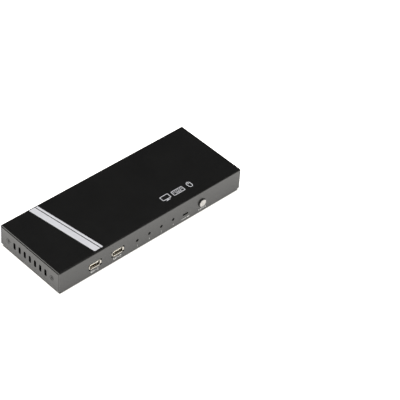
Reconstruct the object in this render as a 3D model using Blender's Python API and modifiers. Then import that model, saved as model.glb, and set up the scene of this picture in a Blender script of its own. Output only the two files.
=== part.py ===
"""A four-way desktop KVM switch in a bent sheet-steel case, modelled at its real size in metres.

The origin is on the table under the middle of the case, +X runs to the right along the front, +Y to the
rear and +Z up. The case is an upper shell (top, front and rear walls) over a base tray (floor and two end
panels). A circuit board inside carries the sockets, the indicators and the sprung select button.
"""

from math import cos, pi, radians, sin

import bmesh
import bpy
from mathutils import Vector

# Case
CASE_LENGTH = 0.240
CASE_DEPTH = 0.090
CASE_HEIGHT = 0.026
SHEET = 0.0012
BEND_RADIUS = 0.0016
GAP = 0.0003
FOOT_RADIUS = 0.005
FOOT_HEIGHT = 0.0018
FOOT_X = 0.100
FOOT_Y = 0.030
CASE_BOTTOM = FOOT_HEIGHT + GAP
CASE_TOP = CASE_BOTTOM + CASE_HEIGHT
FRONT_Y = -CASE_DEPTH / 2
REAR_Y = CASE_DEPTH / 2
END_X = CASE_LENGTH / 2
WALL_INNER_Y = REAR_Y - SHEET
END_PANEL_TOP = CASE_BOTTOM + 0.0233
CORNER_NOTCH = (0.0020, 0.0013)

# End panels: vent slots and case screws
SLOT_COUNT = 7
SLOT_PITCH = 0.0079
SLOT_WIDTH = 0.0032
SLOT_HEIGHT = 0.0085
SLOT_Z = CASE_BOTTOM + 0.0120
CASE_SCREW_Y = 0.0332
CASE_SCREW_Z = CASE_BOTTOM + 0.0122
CASE_SCREW_LENGTH = 0.0062
CASE_SCREW_HEAD_RADIUS = 0.00275
CASE_SCREW_HEAD_DEPTH = 0.0012
CASE_SCREW_SHANK_RADIUS = 0.00130
EAR_DEPTH = 0.0160
EAR_HEIGHT = 0.0130
EAR_CORNER_RADIUS = 0.0015
EAR_OUTER_X = END_X - SHEET - GAP

# Circuit board and what holds it
BOARD_LENGTH = 0.222
BOARD_DEPTH = 0.0812
BOARD_THICKNESS = 0.0016
BOARD_CORNER_RADIUS = 0.0020
BOARD_TOP = CASE_BOTTOM + 0.0068
BOARD_BOTTOM = BOARD_TOP - BOARD_THICKNESS
ON_BOARD = BOARD_TOP + GAP
STANDOFF_X = 0.104
STANDOFF_Y = 0.034
STANDOFF_RADIUS = 0.0028
BOARD_HOLE_RADIUS = 0.0016
BOARD_SCREW_SHANK_RADIUS = 0.0012
BOARD_SCREW_HEAD_RADIUS = 0.0026
BOARD_SCREW_HEAD_HEIGHT = 0.0016
BOARD_SCREW_LENGTH = 0.0050

# Front panel, left to right
USB_A_X = (-0.0754, -0.0463)
LED_X = (-0.0210, -0.0050, 0.0110, 0.0270)
REMOTE_PORT_X = 0.0440
BUTTON_X = 0.0666
USB_A_Z = CASE_BOTTOM + 0.0109
LED_Z = CASE_BOTTOM + 0.0107
BUTTON_Z = CASE_BOTTOM + 0.0110

# Rear panel, left to right as seen from the front
USB_B_X = (-0.086, -0.048, -0.010, 0.028)
HDMI_IN_X = (-0.068, -0.030, 0.008, 0.046)
HDMI_OUT_X = 0.072
DC_JACK_X = 0.094
REAR_PROUD = 0.0005

# Sockets: outer width and height, cut-out clearance and depth behind the mouth
CUT_CLEARANCE = 0.0004
CUT_CORNER_RADIUS = 0.0004
SOCKET_BACK_WALL = 0.0010
USB_A_TUBE = (0.0133, 0.0059)
USB_A_LIPS = (0.0156, 0.0072)
USB_A_LIP_MOUTH = (0.0148, 0.0064)
USB_A_LIP_NOTCH = (0.0016, 0.0009)
USB_A_MOUTH = (0.0125, 0.0051)
USB_A_DEPTH = 0.0140
USB_A_LIP_DEPTH = 0.0008
USB_A_FLARE_DEPTH = 0.0007
USB_A_TONGUE = (0.0111, 0.0113, 0.0018)
USB_A_TONGUE_DROP = 0.0007
REMOTE_CUT_OUT = (0.0072, 0.0022)
REMOTE_SHELL = (0.0076, 0.0025)
REMOTE_MOUTH = (0.0069, 0.0018)
REMOTE_CHAMFER = 0.0008
REMOTE_DEPTH = 0.0056
REMOTE_TONGUE = (0.0037, 0.0030, 0.0006)
REMOTE_TONGUE_LIFT = 0.0002
HDMI_SHELL = (0.0150, 0.0060)
HDMI_WALL = 0.0004
HDMI_CHAMFER = 0.0020
HDMI_DEPTH = 0.0110
HDMI_TONGUE = (0.0116, 0.0066, 0.0012)
HDMI_TONGUE_LIFT = 0.0003
USB_B_SHELL = (0.0120, 0.0110)
USB_B_MOUTH = (0.0086, 0.0079)
USB_B_CHAMFER = 0.0018
USB_B_DEPTH = 0.0160
USB_B_HOLLOW = 0.0092
USB_B_TONGUE = (0.0056, 0.0076, 0.0032)
DC_JACK = (0.0090, 0.0110)
DC_JACK_DEPTH = 0.0140
DC_JACK_BORE_RADIUS = 0.00315
DC_JACK_BORE_DEPTH = 0.0095
DC_JACK_PIN_RADIUS = 0.00105
DC_JACK_PIN_LENGTH = 0.0088

# Indicators
LED_HOLE_RADIUS = 0.0017
LED_LENS_RADIUS = 0.0014
LED_TIP_RECESS = 0.0008
LED_LENS_LENGTH = 0.0044
LED_HOLDER = (0.0044, 0.0042)

# Select button: cap, plunger and switch housing along Y
BUTTON_TRAVEL = 0.0015
BUTTON_HOLE_RADIUS = 0.0050
BUTTON_CAP_RADIUS = 0.00435
BUTTON_PROUD = 0.0017
BUTTON_CAP_LENGTH = 0.0042
PLUNGER_WIDTH = 0.0030
PLUNGER_CLEARANCE = 0.0003
PLUNGER_SOCKET_DEPTH = 0.0026
PLUNGER_LENGTH = 0.0079
SWITCH_WIDTH = 0.0080
SWITCH_FRONT_Y = FRONT_Y - BUTTON_PROUD + BUTTON_CAP_LENGTH + BUTTON_TRAVEL + 2 * GAP
SWITCH_DEPTH = 0.0080
SWITCH_BORE_DEPTH = 0.0054

# Components that stand on the board: size, then place along X and Y
CHIP_HEIGHT = 0.0014
VIDEO_CHIP_AT = (0.010, -0.004)
BLOCK_COMPONENTS = {
    "video_switch_chip": ((0.014, 0.014, CHIP_HEIGHT), VIDEO_CHIP_AT),
    "usb_hub_chip": ((0.010, 0.010, CHIP_HEIGHT), (-0.060, -0.006)),
    "voltage_regulator": ((0.0066, 0.0062, 0.0023), (0.092, 0.010)),
}
INDUCTOR_SIZE = (0.0073, 0.0073, 0.0040)
INDUCTOR_CORNER_RADIUS = 0.0015
INDUCTOR_AT = (0.080, 0.004)
CRYSTAL_SIZE = (0.0110, 0.0046, 0.0036)
CRYSTAL_CORNER_RADIUS = 0.0022
CRYSTAL_AT = (-0.042, -0.010)
SINK_WIDTH = 0.020
SINK_BASE = 0.0018
SINK_HEIGHT = 0.0080
SINK_FINS = 7
SINK_FIN_WIDTH = 0.0010
CAPACITOR_RADIUS = 0.00315
CAPACITOR_HEIGHT = 0.0077
CAPACITOR_AT = ((0.092, -0.006), (0.080, -0.012))

ROUND_SEGMENTS = 24
PLASTIC_BEVEL = 0.0003
CROSS_ANGLE = radians(20)
CROSS_SLOT_WIDTH = 0.0007


# Scene, materials and collections


def clear_scene():
    for obj in list(bpy.data.objects):
        bpy.data.objects.remove(obj, do_unlink=True)


def make_collection(name):
    collection = bpy.data.collections.new(name)
    bpy.context.scene.collection.children.link(collection)
    return collection


def make_material(name, colour, roughness, metallic=0.0):
    material = bpy.data.materials.new(name)
    material.use_nodes = True
    shader = material.node_tree.nodes["Principled BSDF"]
    shader.inputs["Base Color"].default_value = (*colour, 1.0)
    shader.inputs["Roughness"].default_value = roughness
    shader.inputs["Metallic"].default_value = metallic
    return material


clear_scene()
PARTS = make_collection("kvm_switch")
CUTTERS = make_collection("cutters")

MATERIALS = {
    "shell_coat": make_material("shell_coat", (0.022, 0.022, 0.021), 0.55),
    "tray_coat": make_material("tray_coat", (0.030, 0.030, 0.029), 0.55),
    "screw_black": make_material("screw_black", (0.015, 0.015, 0.015), 0.35, 0.6),
    "rubber": make_material("rubber", (0.012, 0.012, 0.012), 0.85),
    "socket_steel": make_material("socket_steel", (0.66, 0.63, 0.57), 0.28, 1.0),
    "socket_plastic": make_material("socket_plastic", (0.035, 0.035, 0.037), 0.45),
    "socket_ivory": make_material("socket_ivory", (0.79, 0.75, 0.65), 0.40),
    "board_green": make_material("board_green", (0.020, 0.140, 0.060), 0.40),
    "chip_black": make_material("chip_black", (0.020, 0.020, 0.022), 0.50),
    "zinc_steel": make_material("zinc_steel", (0.62, 0.62, 0.60), 0.35, 1.0),
    "brass": make_material("brass", (0.72, 0.55, 0.26), 0.30, 1.0),
    "aluminium": make_material("aluminium", (0.70, 0.71, 0.72), 0.35, 1.0),
    "button_silver": make_material("button_silver", (0.62, 0.62, 0.60), 0.32),
    "led_lens": make_material("led_lens", (0.16, 0.30, 0.20), 0.20),
}


# Meshes centred on their own origin


def block_mesh(name, size, corner_radius=0.0, corner_axis=(0, 0, 1), segments=3):
    """A box, with the four edges that run along corner_axis rounded if a radius is given."""
    shape = bmesh.new()
    bmesh.ops.create_cube(shape, size=1.0)
    bmesh.ops.scale(shape, vec=size, verts=shape.verts)
    if corner_radius:
        axis = Vector(corner_axis)
        edges = [
            edge
            for edge in shape.edges
            if abs((edge.verts[1].co - edge.verts[0].co).normalized().dot(axis)) > 0.99
        ]
        bmesh.ops.bevel(
            shape, geom=edges, offset=corner_radius, segments=segments, profile=0.5, affect="EDGES"
        )
    mesh = bpy.data.meshes.new(name)
    shape.to_mesh(mesh)
    shape.free()
    return mesh


def rod_mesh(name, radius, length, segments=ROUND_SEGMENTS):
    """A cylinder along Z."""
    shape = bmesh.new()
    bmesh.ops.create_cone(
        shape, cap_ends=True, segments=segments, radius1=radius, radius2=radius, depth=length
    )
    mesh = bpy.data.meshes.new(name)
    shape.to_mesh(mesh)
    shape.free()
    return mesh


def frustum_mesh(name, front, back, depth):
    """A block along Y whose front face (towards -Y) has another width and height than its back face."""
    shape = bmesh.new()
    bmesh.ops.create_cube(shape, size=1.0)
    for vert in shape.verts:
        width, height = front if vert.co.y < 0 else back
        vert.co = (vert.co.x * width, vert.co.y * depth, vert.co.z * height)
    mesh = bpy.data.meshes.new(name)
    shape.to_mesh(mesh)
    shape.free()
    return mesh


def profile_mesh(name, points):
    """An open chain of edges in the XZ plane, given as (radius, height) from top to bottom."""
    shape = bmesh.new()
    chain = [shape.verts.new((radius, 0.0, height)) for radius, height in points]
    for pair in zip(chain, chain[1:]):
        shape.edges.new(pair)
    mesh = bpy.data.meshes.new(name)
    shape.to_mesh(mesh)
    shape.free()
    return mesh


def sheet_mesh(name, section, sweep):
    """An open sheet: a chain of straight edges swept by a vector."""
    shape = bmesh.new()
    chain = [shape.verts.new(point) for point in section]
    edges = [shape.edges.new(pair) for pair in zip(chain, chain[1:])]
    swept = bmesh.ops.extrude_edge_only(shape, edges=edges)
    far_side = [item for item in swept["geom"] if isinstance(item, bmesh.types.BMVert)]
    bmesh.ops.translate(shape, vec=sweep, verts=far_side)
    mesh = bpy.data.meshes.new(name)
    shape.to_mesh(mesh)
    shape.free()
    return mesh


def outline_mesh(name, points, thickness):
    """A plate of the given thickness about the XY plane, with the outline through the given points."""
    curve = bpy.data.curves.new(name, "CURVE")
    curve.dimensions = "2D"
    curve.fill_mode = "BOTH"
    curve.extrude = thickness / 2
    spline = curve.splines.new("POLY")
    spline.points.add(len(points) - 1)
    for corner, (x, y) in zip(spline.points, points):
        corner.co = (x, y, 0.0, 1.0)
    spline.use_cyclic_u = True
    flat = bpy.data.objects.new(name, curve)
    bpy.context.scene.collection.objects.link(flat)
    graph = bpy.context.evaluated_depsgraph_get()
    mesh = bpy.data.meshes.new_from_object(flat.evaluated_get(graph))
    bpy.data.objects.remove(flat, do_unlink=True)
    bpy.data.curves.remove(curve)
    shape = bmesh.new()
    shape.from_mesh(mesh)
    bmesh.ops.remove_doubles(shape, verts=shape.verts, dist=1e-6)
    shape.to_mesh(mesh)
    shape.free()
    return mesh


# Placing, rounding, cutting and joining

ALONG_X = (0, pi / 2, 0)
ALONG_Y = (-pi / 2, 0, 0)
FACING_FRONT = (pi / 2, 0, 0)
FACING_LEFT = (0, -pi / 2, 0)
UPRIGHT = (0, 0, 0)


def place(name, mesh, at, finish=None, turned=UPRIGHT):
    """Adds a part when a finish is given, and a hidden cutter when it is not."""
    obj = bpy.data.objects.new(name, mesh)
    obj.location = at
    obj.rotation_euler = turned
    if finish:
        mesh.materials.append(MATERIALS[finish])
        PARTS.objects.link(obj)
    else:
        CUTTERS.objects.link(obj)
        obj.hide_render = True
        obj.display_type = "WIRE"
    return obj


def combine(target, tool, operation):
    modifier = target.modifiers.new(tool.name, "BOOLEAN")
    modifier.operation = operation
    modifier.object = tool
    modifier.solver = "EXACT"


def cut(target, tool):
    combine(target, tool, "DIFFERENCE")


def join(target, tool):
    combine(target, tool, "UNION")


def round_edges(obj, width, segments=2, angle=radians(40)):
    modifier = obj.modifiers.new("rounded_edges", "BEVEL")
    modifier.width = width
    modifier.segments = segments
    modifier.limit_method = "ANGLE"
    modifier.angle_limit = angle


def thicken(obj, thickness):
    modifier = obj.modifiers.new("sheet", "SOLIDIFY")
    modifier.thickness = thickness
    modifier.offset = -1.0
    modifier.use_even_offset = True


def turn(obj, steps=ROUND_SEGMENTS):
    modifier = obj.modifiers.new("turned", "SCREW")
    modifier.axis = "Z"
    modifier.steps = steps
    modifier.render_steps = steps
    modifier.use_merge_vertices = True
    modifier.merge_threshold = 0.00001
    modifier.use_smooth_shade = True


def shade_round(obj):
    obj.data.shade_smooth()
    obj.data.set_sharp_from_angle(angle=radians(35))


# Shared outlines and profiles


def countersunk_profile(head_radius, shank_radius, head_depth, length):
    """Half section of a countersunk screw or of its hole, with the head's face at height 0."""
    return [
        (0.0, 0.0),
        (head_radius, 0.0),
        (shank_radius, -head_depth),
        (shank_radius, -length),
        (0.0, -length),
    ]


def chamfered_outline(width, height, chamfer, corners):
    """A rectangle about the origin with its lower (-1) or upper (+1) two corners cut off."""
    half_width = width / 2
    half_height = height / 2
    plain_y = -corners * half_height
    cut_y = corners * half_height
    return [
        (-half_width, plain_y),
        (half_width, plain_y),
        (half_width, cut_y - corners * chamfer),
        (half_width - chamfer, cut_y),
        (chamfer - half_width, cut_y),
        (-half_width, cut_y - corners * chamfer),
    ]


def notched_outline(width, height, notch):
    """A rectangle about the origin with a small rectangle taken out of each corner."""
    half_width = width / 2
    half_height = height / 2
    notch_x = half_width - notch[0]
    notch_y = half_height - notch[1]
    points = []
    for x, y in ((1, 1), (-1, 1), (-1, -1), (1, -1)):
        corner = [(x * half_width, y * notch_y), (x * notch_x, y * notch_y), (x * notch_x, y * half_height)]
        points += corner if x == y else reversed(corner)
    return points


def cross_outline(span, width):
    """The plus-shaped outline of a crosshead recess, as far round as its screw was driven."""
    arm = span / 2
    half = width / 2
    points = []
    for quarter in range(4):
        angle = quarter * pi / 2 + CROSS_ANGLE
        for x, y in ((half, half), (half, arm), (-half, arm)):
            points.append((x * cos(angle) - y * sin(angle), x * sin(angle) + y * cos(angle)))
    return points


def comb_outline(width, base, height, fins, fin_width):
    """Section of a finned heat sink standing on its base, with the base's underside at y 0."""
    pitch = (width - fin_width) / (fins - 1)
    points = [(-width / 2, 0.0), (width / 2, 0.0)]
    for fin in reversed(range(fins)):
        left = -width / 2 + fin * pitch
        right = left + fin_width
        points += [(right, base), (right, height), (left, height), (left, base)]
    return points[:2] + points[3:-1]


# Case


def side_name(x, y):
    return f"{'front' if y < 0 else 'rear'}_{'left' if x < 0 else 'right'}"


CORNERS = [(x, y) for x in (-1, 1) for y in (-1, 1)]


def make_upper_shell():
    section = [
        (-END_X, FRONT_Y, CASE_BOTTOM),
        (-END_X, FRONT_Y, CASE_TOP),
        (-END_X, REAR_Y, CASE_TOP),
        (-END_X, REAR_Y, CASE_BOTTOM),
    ]
    mesh = sheet_mesh("upper_shell", section, (CASE_LENGTH, 0, 0))
    shell = place("upper_shell", mesh, (0, 0, 0), "shell_coat")
    round_edges(shell, BEND_RADIUS, segments=4)
    thicken(shell, SHEET)
    add_screw_ears(shell)
    cut_corner_notches(shell)
    cut_front_panel(shell)
    cut_rear_panel(shell)


def add_screw_ears(shell):
    """Tabs folded in from the ends of the front and rear walls, behind the end panels."""
    root = SHEET / 3
    for x, y in CORNERS:
        ear = block_mesh("ear", (SHEET, EAR_DEPTH + root, EAR_HEIGHT), EAR_CORNER_RADIUS, (1, 0, 0))
        at = (
            x * (EAR_OUTER_X - SHEET / 2),
            y * (WALL_INNER_Y - (EAR_DEPTH - root) / 2),
            CASE_SCREW_Z,
        )
        join(shell, place(f"ear_{side_name(x, y)}", ear, at))
        hole = rod_mesh("ear_hole", CASE_SCREW_SHANK_RADIUS + GAP, 3 * SHEET, segments=16)
        spot = (x * (EAR_OUTER_X - SHEET / 2), y * CASE_SCREW_Y, CASE_SCREW_Z)
        cut(shell, place(f"ear_hole_{side_name(x, y)}", hole, spot, turned=ALONG_X))


def cut_corner_notches(shell):
    """Relief notches in the lower corners of the front and rear walls."""
    width, height = CORNER_NOTCH
    for x, y in CORNERS:
        notch = block_mesh("corner_notch", (2 * width, 4 * SHEET, 2 * height))
        at = (x * END_X, y * REAR_Y, CASE_BOTTOM)
        cut(shell, place(f"corner_notch_{side_name(x, y)}", notch, at))


def panel_hole(shell, name, size, x, y, z):
    """A rectangular cut-out through the front or rear wall."""
    width, height = size
    hole = block_mesh(name, (width, 4 * SHEET, height), CUT_CORNER_RADIUS, (0, 1, 0), 2)
    cut(shell, place(name, hole, (x, y, z)))


def round_a_socket(size):
    """The cut-out that clears a socket of the given width and height."""
    return tuple(side + 2 * CUT_CLEARANCE for side in size)


def round_panel_hole(shell, name, radius, x, z):
    hole = rod_mesh(name, radius, 4 * SHEET)
    cut(shell, place(name, hole, (x, FRONT_Y, z), turned=ALONG_Y))


def cut_front_panel(shell):
    for number, x in enumerate(USB_A_X, 1):
        panel_hole(shell, f"usb_a_cut_out_{number}", round_a_socket(USB_A_LIPS), x, FRONT_Y, USB_A_Z)
    for number, x in enumerate(LED_X, 1):
        round_panel_hole(shell, f"led_hole_{number}", LED_HOLE_RADIUS, x, LED_Z)
    remote_z = ON_BOARD + REMOTE_SHELL[1] / 2
    panel_hole(shell, "remote_cut_out", REMOTE_CUT_OUT, REMOTE_PORT_X, FRONT_Y, remote_z)
    round_panel_hole(shell, "button_hole", BUTTON_HOLE_RADIUS, BUTTON_X, BUTTON_Z)


def cut_rear_panel(shell):
    for number, x in enumerate((*HDMI_IN_X, HDMI_OUT_X), 1):
        hdmi_z = ON_BOARD + HDMI_SHELL[1] / 2
        panel_hole(shell, f"hdmi_cut_out_{number}", round_a_socket(HDMI_SHELL), x, REAR_Y, hdmi_z)
    for number, x in enumerate(USB_B_X, 1):
        usb_z = ON_BOARD + USB_B_SHELL[1] / 2
        panel_hole(shell, f"usb_b_cut_out_{number}", round_a_socket(USB_B_SHELL), x, REAR_Y, usb_z)
    dc_z = ON_BOARD + DC_JACK[1] / 2
    panel_hole(shell, "dc_cut_out", round_a_socket(DC_JACK), DC_JACK_X, REAR_Y, dc_z)


def make_base_tray():
    half_depth = WALL_INNER_Y - GAP
    section = [
        (-END_X, -half_depth, END_PANEL_TOP),
        (-END_X, -half_depth, CASE_BOTTOM),
        (END_X, -half_depth, CASE_BOTTOM),
        (END_X, -half_depth, END_PANEL_TOP),
    ]
    mesh = sheet_mesh("base_tray", section, (0, 2 * half_depth, 0))
    tray = place("base_tray", mesh, (0, 0, 0), "tray_coat")
    round_edges(tray, BEND_RADIUS, segments=4)
    thicken(tray, SHEET)
    slot_size = (2 * CASE_LENGTH, SLOT_WIDTH, SLOT_HEIGHT)
    slot_radius = 0.49 * SLOT_WIDTH
    for number in range(SLOT_COUNT):
        y = (number - (SLOT_COUNT - 1) / 2) * SLOT_PITCH
        slot = block_mesh("vent_slot", slot_size, slot_radius, (1, 0, 0), segments=5)
        cut(tray, place(f"vent_slot_{number + 1}", slot, (0, y, SLOT_Z)))
    for x, y in CORNERS:
        profile = countersunk_profile(
            CASE_SCREW_HEAD_RADIUS + GAP,
            CASE_SCREW_SHANK_RADIUS + GAP,
            CASE_SCREW_HEAD_DEPTH,
            CASE_SCREW_LENGTH,
        )
        hole = profile_mesh("countersink", profile)
        facing = ALONG_X if x > 0 else FACING_LEFT
        at = (x * END_X, y * CASE_SCREW_Y, CASE_SCREW_Z)
        tool = place(f"countersink_{side_name(x, y)}", hole, at, turned=facing)
        turn(tool)
        cut(tray, tool)


def add_cross_recess(screw, name, at, facing, span=0.0030, depth=0.0008):
    recess = outline_mesh(name, cross_outline(span, CROSS_SLOT_WIDTH), 2 * depth)
    cut(screw, place(name, recess, at, turned=facing))


def make_case_screws():
    for x, y in CORNERS:
        profile = countersunk_profile(
            CASE_SCREW_HEAD_RADIUS, CASE_SCREW_SHANK_RADIUS, CASE_SCREW_HEAD_DEPTH, CASE_SCREW_LENGTH
        )
        name = f"case_screw_{side_name(x, y)}"
        facing = ALONG_X if x > 0 else FACING_LEFT
        at = (x * END_X, y * CASE_SCREW_Y, CASE_SCREW_Z)
        screw = place(name, profile_mesh(name, profile), at, "screw_black", facing)
        turn(screw)
        add_cross_recess(screw, f"recess_{name}", at, facing)


def make_feet():
    """Turned rubber pads with a drafted side and a rounded lower rim."""
    profile = [
        (0.0, FOOT_HEIGHT),
        (FOOT_RADIUS, FOOT_HEIGHT),
        (FOOT_RADIUS - 0.0002, 0.0005),
        (FOOT_RADIUS - 0.0007, 0.0),
        (0.0, 0.0),
    ]
    for x, y in CORNERS:
        name = f"rubber_foot_{side_name(x, y)}"
        foot = place(name, profile_mesh(name, profile), (x * FOOT_X, y * FOOT_Y, 0), "rubber")
        turn(foot)


# Board


def make_main_board():
    size = (BOARD_LENGTH, BOARD_DEPTH, BOARD_THICKNESS)
    middle = BOARD_TOP - BOARD_THICKNESS / 2
    plate = block_mesh("main_board", size, BOARD_CORNER_RADIUS)
    board = place("main_board", plate, (0, 0, middle), "board_green")
    for x, y in CORNERS:
        hole = rod_mesh("board_hole", BOARD_HOLE_RADIUS, 3 * BOARD_THICKNESS, segments=16)
        at = (x * STANDOFF_X, y * STANDOFF_Y, middle)
        cut(board, place(f"board_hole_{side_name(x, y)}", hole, at))


def make_standoffs():
    """Hexagonal brass pillars between the tray's floor and the board."""
    low = CASE_BOTTOM + SHEET + GAP
    high = BOARD_BOTTOM - GAP
    for x, y in CORNERS:
        name = f"standoff_{side_name(x, y)}"
        at = (x * STANDOFF_X, y * STANDOFF_Y, (low + high) / 2)
        pillar = place(name, rod_mesh(name, STANDOFF_RADIUS, high - low, segments=6), at, "brass")
        bore = rod_mesh("bore", BOARD_SCREW_SHANK_RADIUS + GAP, 2 * (high - low), segments=16)
        cut(pillar, place(f"bore_{name}", bore, at))


def make_board_screws():
    """Pan-head screws with the head's underside just above the board."""
    profile = [
        (0.0, BOARD_SCREW_HEAD_HEIGHT),
        (0.7 * BOARD_SCREW_HEAD_RADIUS, BOARD_SCREW_HEAD_HEIGHT),
        (BOARD_SCREW_HEAD_RADIUS, 0.45 * BOARD_SCREW_HEAD_HEIGHT),
        (BOARD_SCREW_HEAD_RADIUS, 0.0),
        (BOARD_SCREW_SHANK_RADIUS, 0.0),
        (BOARD_SCREW_SHANK_RADIUS, -BOARD_SCREW_LENGTH),
        (0.0, -BOARD_SCREW_LENGTH),
    ]
    for x, y in CORNERS:
        name = f"board_screw_{side_name(x, y)}"
        at = (x * STANDOFF_X, y * STANDOFF_Y, ON_BOARD)
        screw = place(name, profile_mesh(name, profile), at, "zinc_steel")
        turn(screw, steps=16)
        top = (at[0], at[1], ON_BOARD + BOARD_SCREW_HEAD_HEIGHT)
        add_cross_recess(screw, f"recess_{name}", top, UPRIGHT, span=0.0026)


def stand_on_board(name, mesh, height, at, finish):
    x, y = at
    return place(name, mesh, (x, y, ON_BOARD + height / 2), finish)


def make_moulded_components():
    for name, (size, at) in BLOCK_COMPONENTS.items():
        part = stand_on_board(name, block_mesh(name, size), size[2], at, "chip_black")
        round_edges(part, PLASTIC_BEVEL, segments=1)
    inductor = block_mesh("power_inductor", INDUCTOR_SIZE, INDUCTOR_CORNER_RADIUS)
    stand_on_board("power_inductor", inductor, INDUCTOR_SIZE[2], INDUCTOR_AT, "chip_black")
    crystal = block_mesh("clock_crystal", CRYSTAL_SIZE, CRYSTAL_CORNER_RADIUS, segments=5)
    stand_on_board("clock_crystal", crystal, CRYSTAL_SIZE[2], CRYSTAL_AT, "zinc_steel")


def make_heat_sink():
    """An extruded comb that sits on the video switch chip."""
    fins = comb_outline(SINK_WIDTH, SINK_BASE, SINK_HEIGHT, SINK_FINS, SINK_FIN_WIDTH)
    at = (*VIDEO_CHIP_AT, ON_BOARD + CHIP_HEIGHT + GAP)
    place("heat_sink", outline_mesh("heat_sink", fins, SINK_WIDTH), at, "aluminium", FACING_FRONT)


def make_capacitors():
    """Cans with a rounded top and a rolled groove near the base."""
    groove = 0.0004
    profile = [
        (0.0, CAPACITOR_HEIGHT),
        (CAPACITOR_RADIUS - groove, CAPACITOR_HEIGHT),
        (CAPACITOR_RADIUS, CAPACITOR_HEIGHT - groove),
        (CAPACITOR_RADIUS, 4 * groove),
        (CAPACITOR_RADIUS - groove, 3 * groove),
        (CAPACITOR_RADIUS, 2 * groove),
        (CAPACITOR_RADIUS, 0.0),
        (0.0, 0.0),
    ]
    for number, (x, y) in enumerate(CAPACITOR_AT, 1):
        name = f"filter_capacitor_{number}"
        can = place(name, profile_mesh(name, profile), (x, y, ON_BOARD), "aluminium")
        turn(can)


# Sockets. Each is built about its mouth's centre with the hollow running inwards


def tongue(name, size, x, mouth_y, z, inward, hollow_depth, material="socket_plastic"):
    """The contact blade, which stands out from the back of the hollow."""
    width, length, height = size
    y = mouth_y + inward * (hollow_depth - GAP - length / 2)
    place(name, block_mesh(name, (width, length, height)), (x, y, z), material)


def make_usb_a(number, x):
    """A steel tube with four flared lips, which don't meet at the corners, level with the panel."""
    mouth_y = FRONT_Y
    name = f"usb_a_shell_{number}"
    tube = block_mesh(name, (USB_A_TUBE[0], USB_A_DEPTH, USB_A_TUBE[1]), 0.0005, (0, 1, 0))
    shell = place(name, tube, (x, mouth_y + USB_A_DEPTH / 2, USB_A_Z), "socket_steel")
    lips = outline_mesh("lips", notched_outline(*USB_A_LIPS, USB_A_LIP_NOTCH), USB_A_LIP_DEPTH)
    lips_at = (x, mouth_y + USB_A_LIP_DEPTH / 2, USB_A_Z)
    join(shell, place(f"lips_{name}", lips, lips_at, turned=FACING_FRONT))
    hollow_depth = USB_A_DEPTH - SOCKET_BACK_WALL
    hollow = block_mesh("hollow", (USB_A_MOUTH[0], 2 * hollow_depth, USB_A_MOUTH[1]))
    cut(shell, place(f"hollow_{name}", hollow, (x, mouth_y, USB_A_Z)))
    flare = frustum_mesh("flare", USB_A_LIP_MOUTH, USB_A_MOUTH, USB_A_FLARE_DEPTH)
    cut(shell, place(f"flare_{name}", flare, (x, mouth_y + USB_A_FLARE_DEPTH / 2, USB_A_Z)))
    tongue_z = USB_A_Z + USB_A_MOUTH[1] / 2 - USB_A_TONGUE[2] / 2 - USB_A_TONGUE_DROP
    name = f"usb_a_tongue_{number}"
    tongue(name, USB_A_TONGUE, x, mouth_y, tongue_z, 1, hollow_depth, "socket_ivory")


def make_remote_port():
    """A small socket whose mouth is just behind its cut-out in the front wall."""
    mouth_y = GAP - WALL_INNER_Y
    z = ON_BOARD + REMOTE_SHELL[1] / 2
    outer = chamfered_outline(*REMOTE_SHELL, REMOTE_CHAMFER, -1)
    at = (REMOTE_PORT_X, mouth_y + REMOTE_DEPTH / 2, z)
    mesh = outline_mesh("remote_port_shell", outer, REMOTE_DEPTH)
    shell = place("remote_port_shell", mesh, at, "socket_steel", FACING_FRONT)
    hollow_depth = REMOTE_DEPTH - SOCKET_BACK_WALL
    inner = chamfered_outline(*REMOTE_MOUTH, REMOTE_CHAMFER, -1)
    hollow = outline_mesh("remote_hollow", inner, 2 * hollow_depth)
    cut(shell, place("remote_hollow", hollow, (REMOTE_PORT_X, mouth_y, z), turned=FACING_FRONT))
    tongue_z = z + REMOTE_TONGUE_LIFT
    tongue("remote_port_tongue", REMOTE_TONGUE, REMOTE_PORT_X, mouth_y, tongue_z, 1, hollow_depth)


def make_hdmi(shell_name, tongue_name, x):
    mouth_y = REAR_Y + REAR_PROUD
    z = ON_BOARD + HDMI_SHELL[1] / 2
    outer = chamfered_outline(*HDMI_SHELL, HDMI_CHAMFER, -1)
    at = (x, mouth_y - HDMI_DEPTH / 2, z)
    mesh = outline_mesh(shell_name, outer, HDMI_DEPTH)
    shell = place(shell_name, mesh, at, "socket_steel", FACING_FRONT)
    hollow_depth = HDMI_DEPTH - SOCKET_BACK_WALL
    mouth = (HDMI_SHELL[0] - 2 * HDMI_WALL, HDMI_SHELL[1] - 2 * HDMI_WALL)
    inner = chamfered_outline(*mouth, HDMI_CHAMFER - HDMI_WALL / 2, -1)
    hollow = outline_mesh("hdmi_hollow", inner, 2 * hollow_depth)
    cut(shell, place(f"hollow_{shell_name}", hollow, (x, mouth_y, z), turned=FACING_FRONT))
    tongue(tongue_name, HDMI_TONGUE, x, mouth_y, z + HDMI_TONGUE_LIFT, -1, hollow_depth)


def make_usb_b(number, x):
    mouth_y = REAR_Y + REAR_PROUD
    z = ON_BOARD + USB_B_SHELL[1] / 2
    name = f"usb_b_shell_{number}"
    body = block_mesh(name, (USB_B_SHELL[0], USB_B_DEPTH, USB_B_SHELL[1]), 0.0005, (0, 1, 0), 1)
    shell = place(name, body, (x, mouth_y - USB_B_DEPTH / 2, z), "socket_steel")
    inner = chamfered_outline(*USB_B_MOUTH, USB_B_CHAMFER, 1)
    hollow = outline_mesh("usb_b_hollow", inner, 2 * USB_B_HOLLOW)
    cut(shell, place(f"hollow_{name}", hollow, (x, mouth_y, z), turned=FACING_FRONT))
    tongue(f"usb_b_tongue_{number}", USB_B_TONGUE, x, mouth_y, z, -1, USB_B_HOLLOW)


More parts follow.
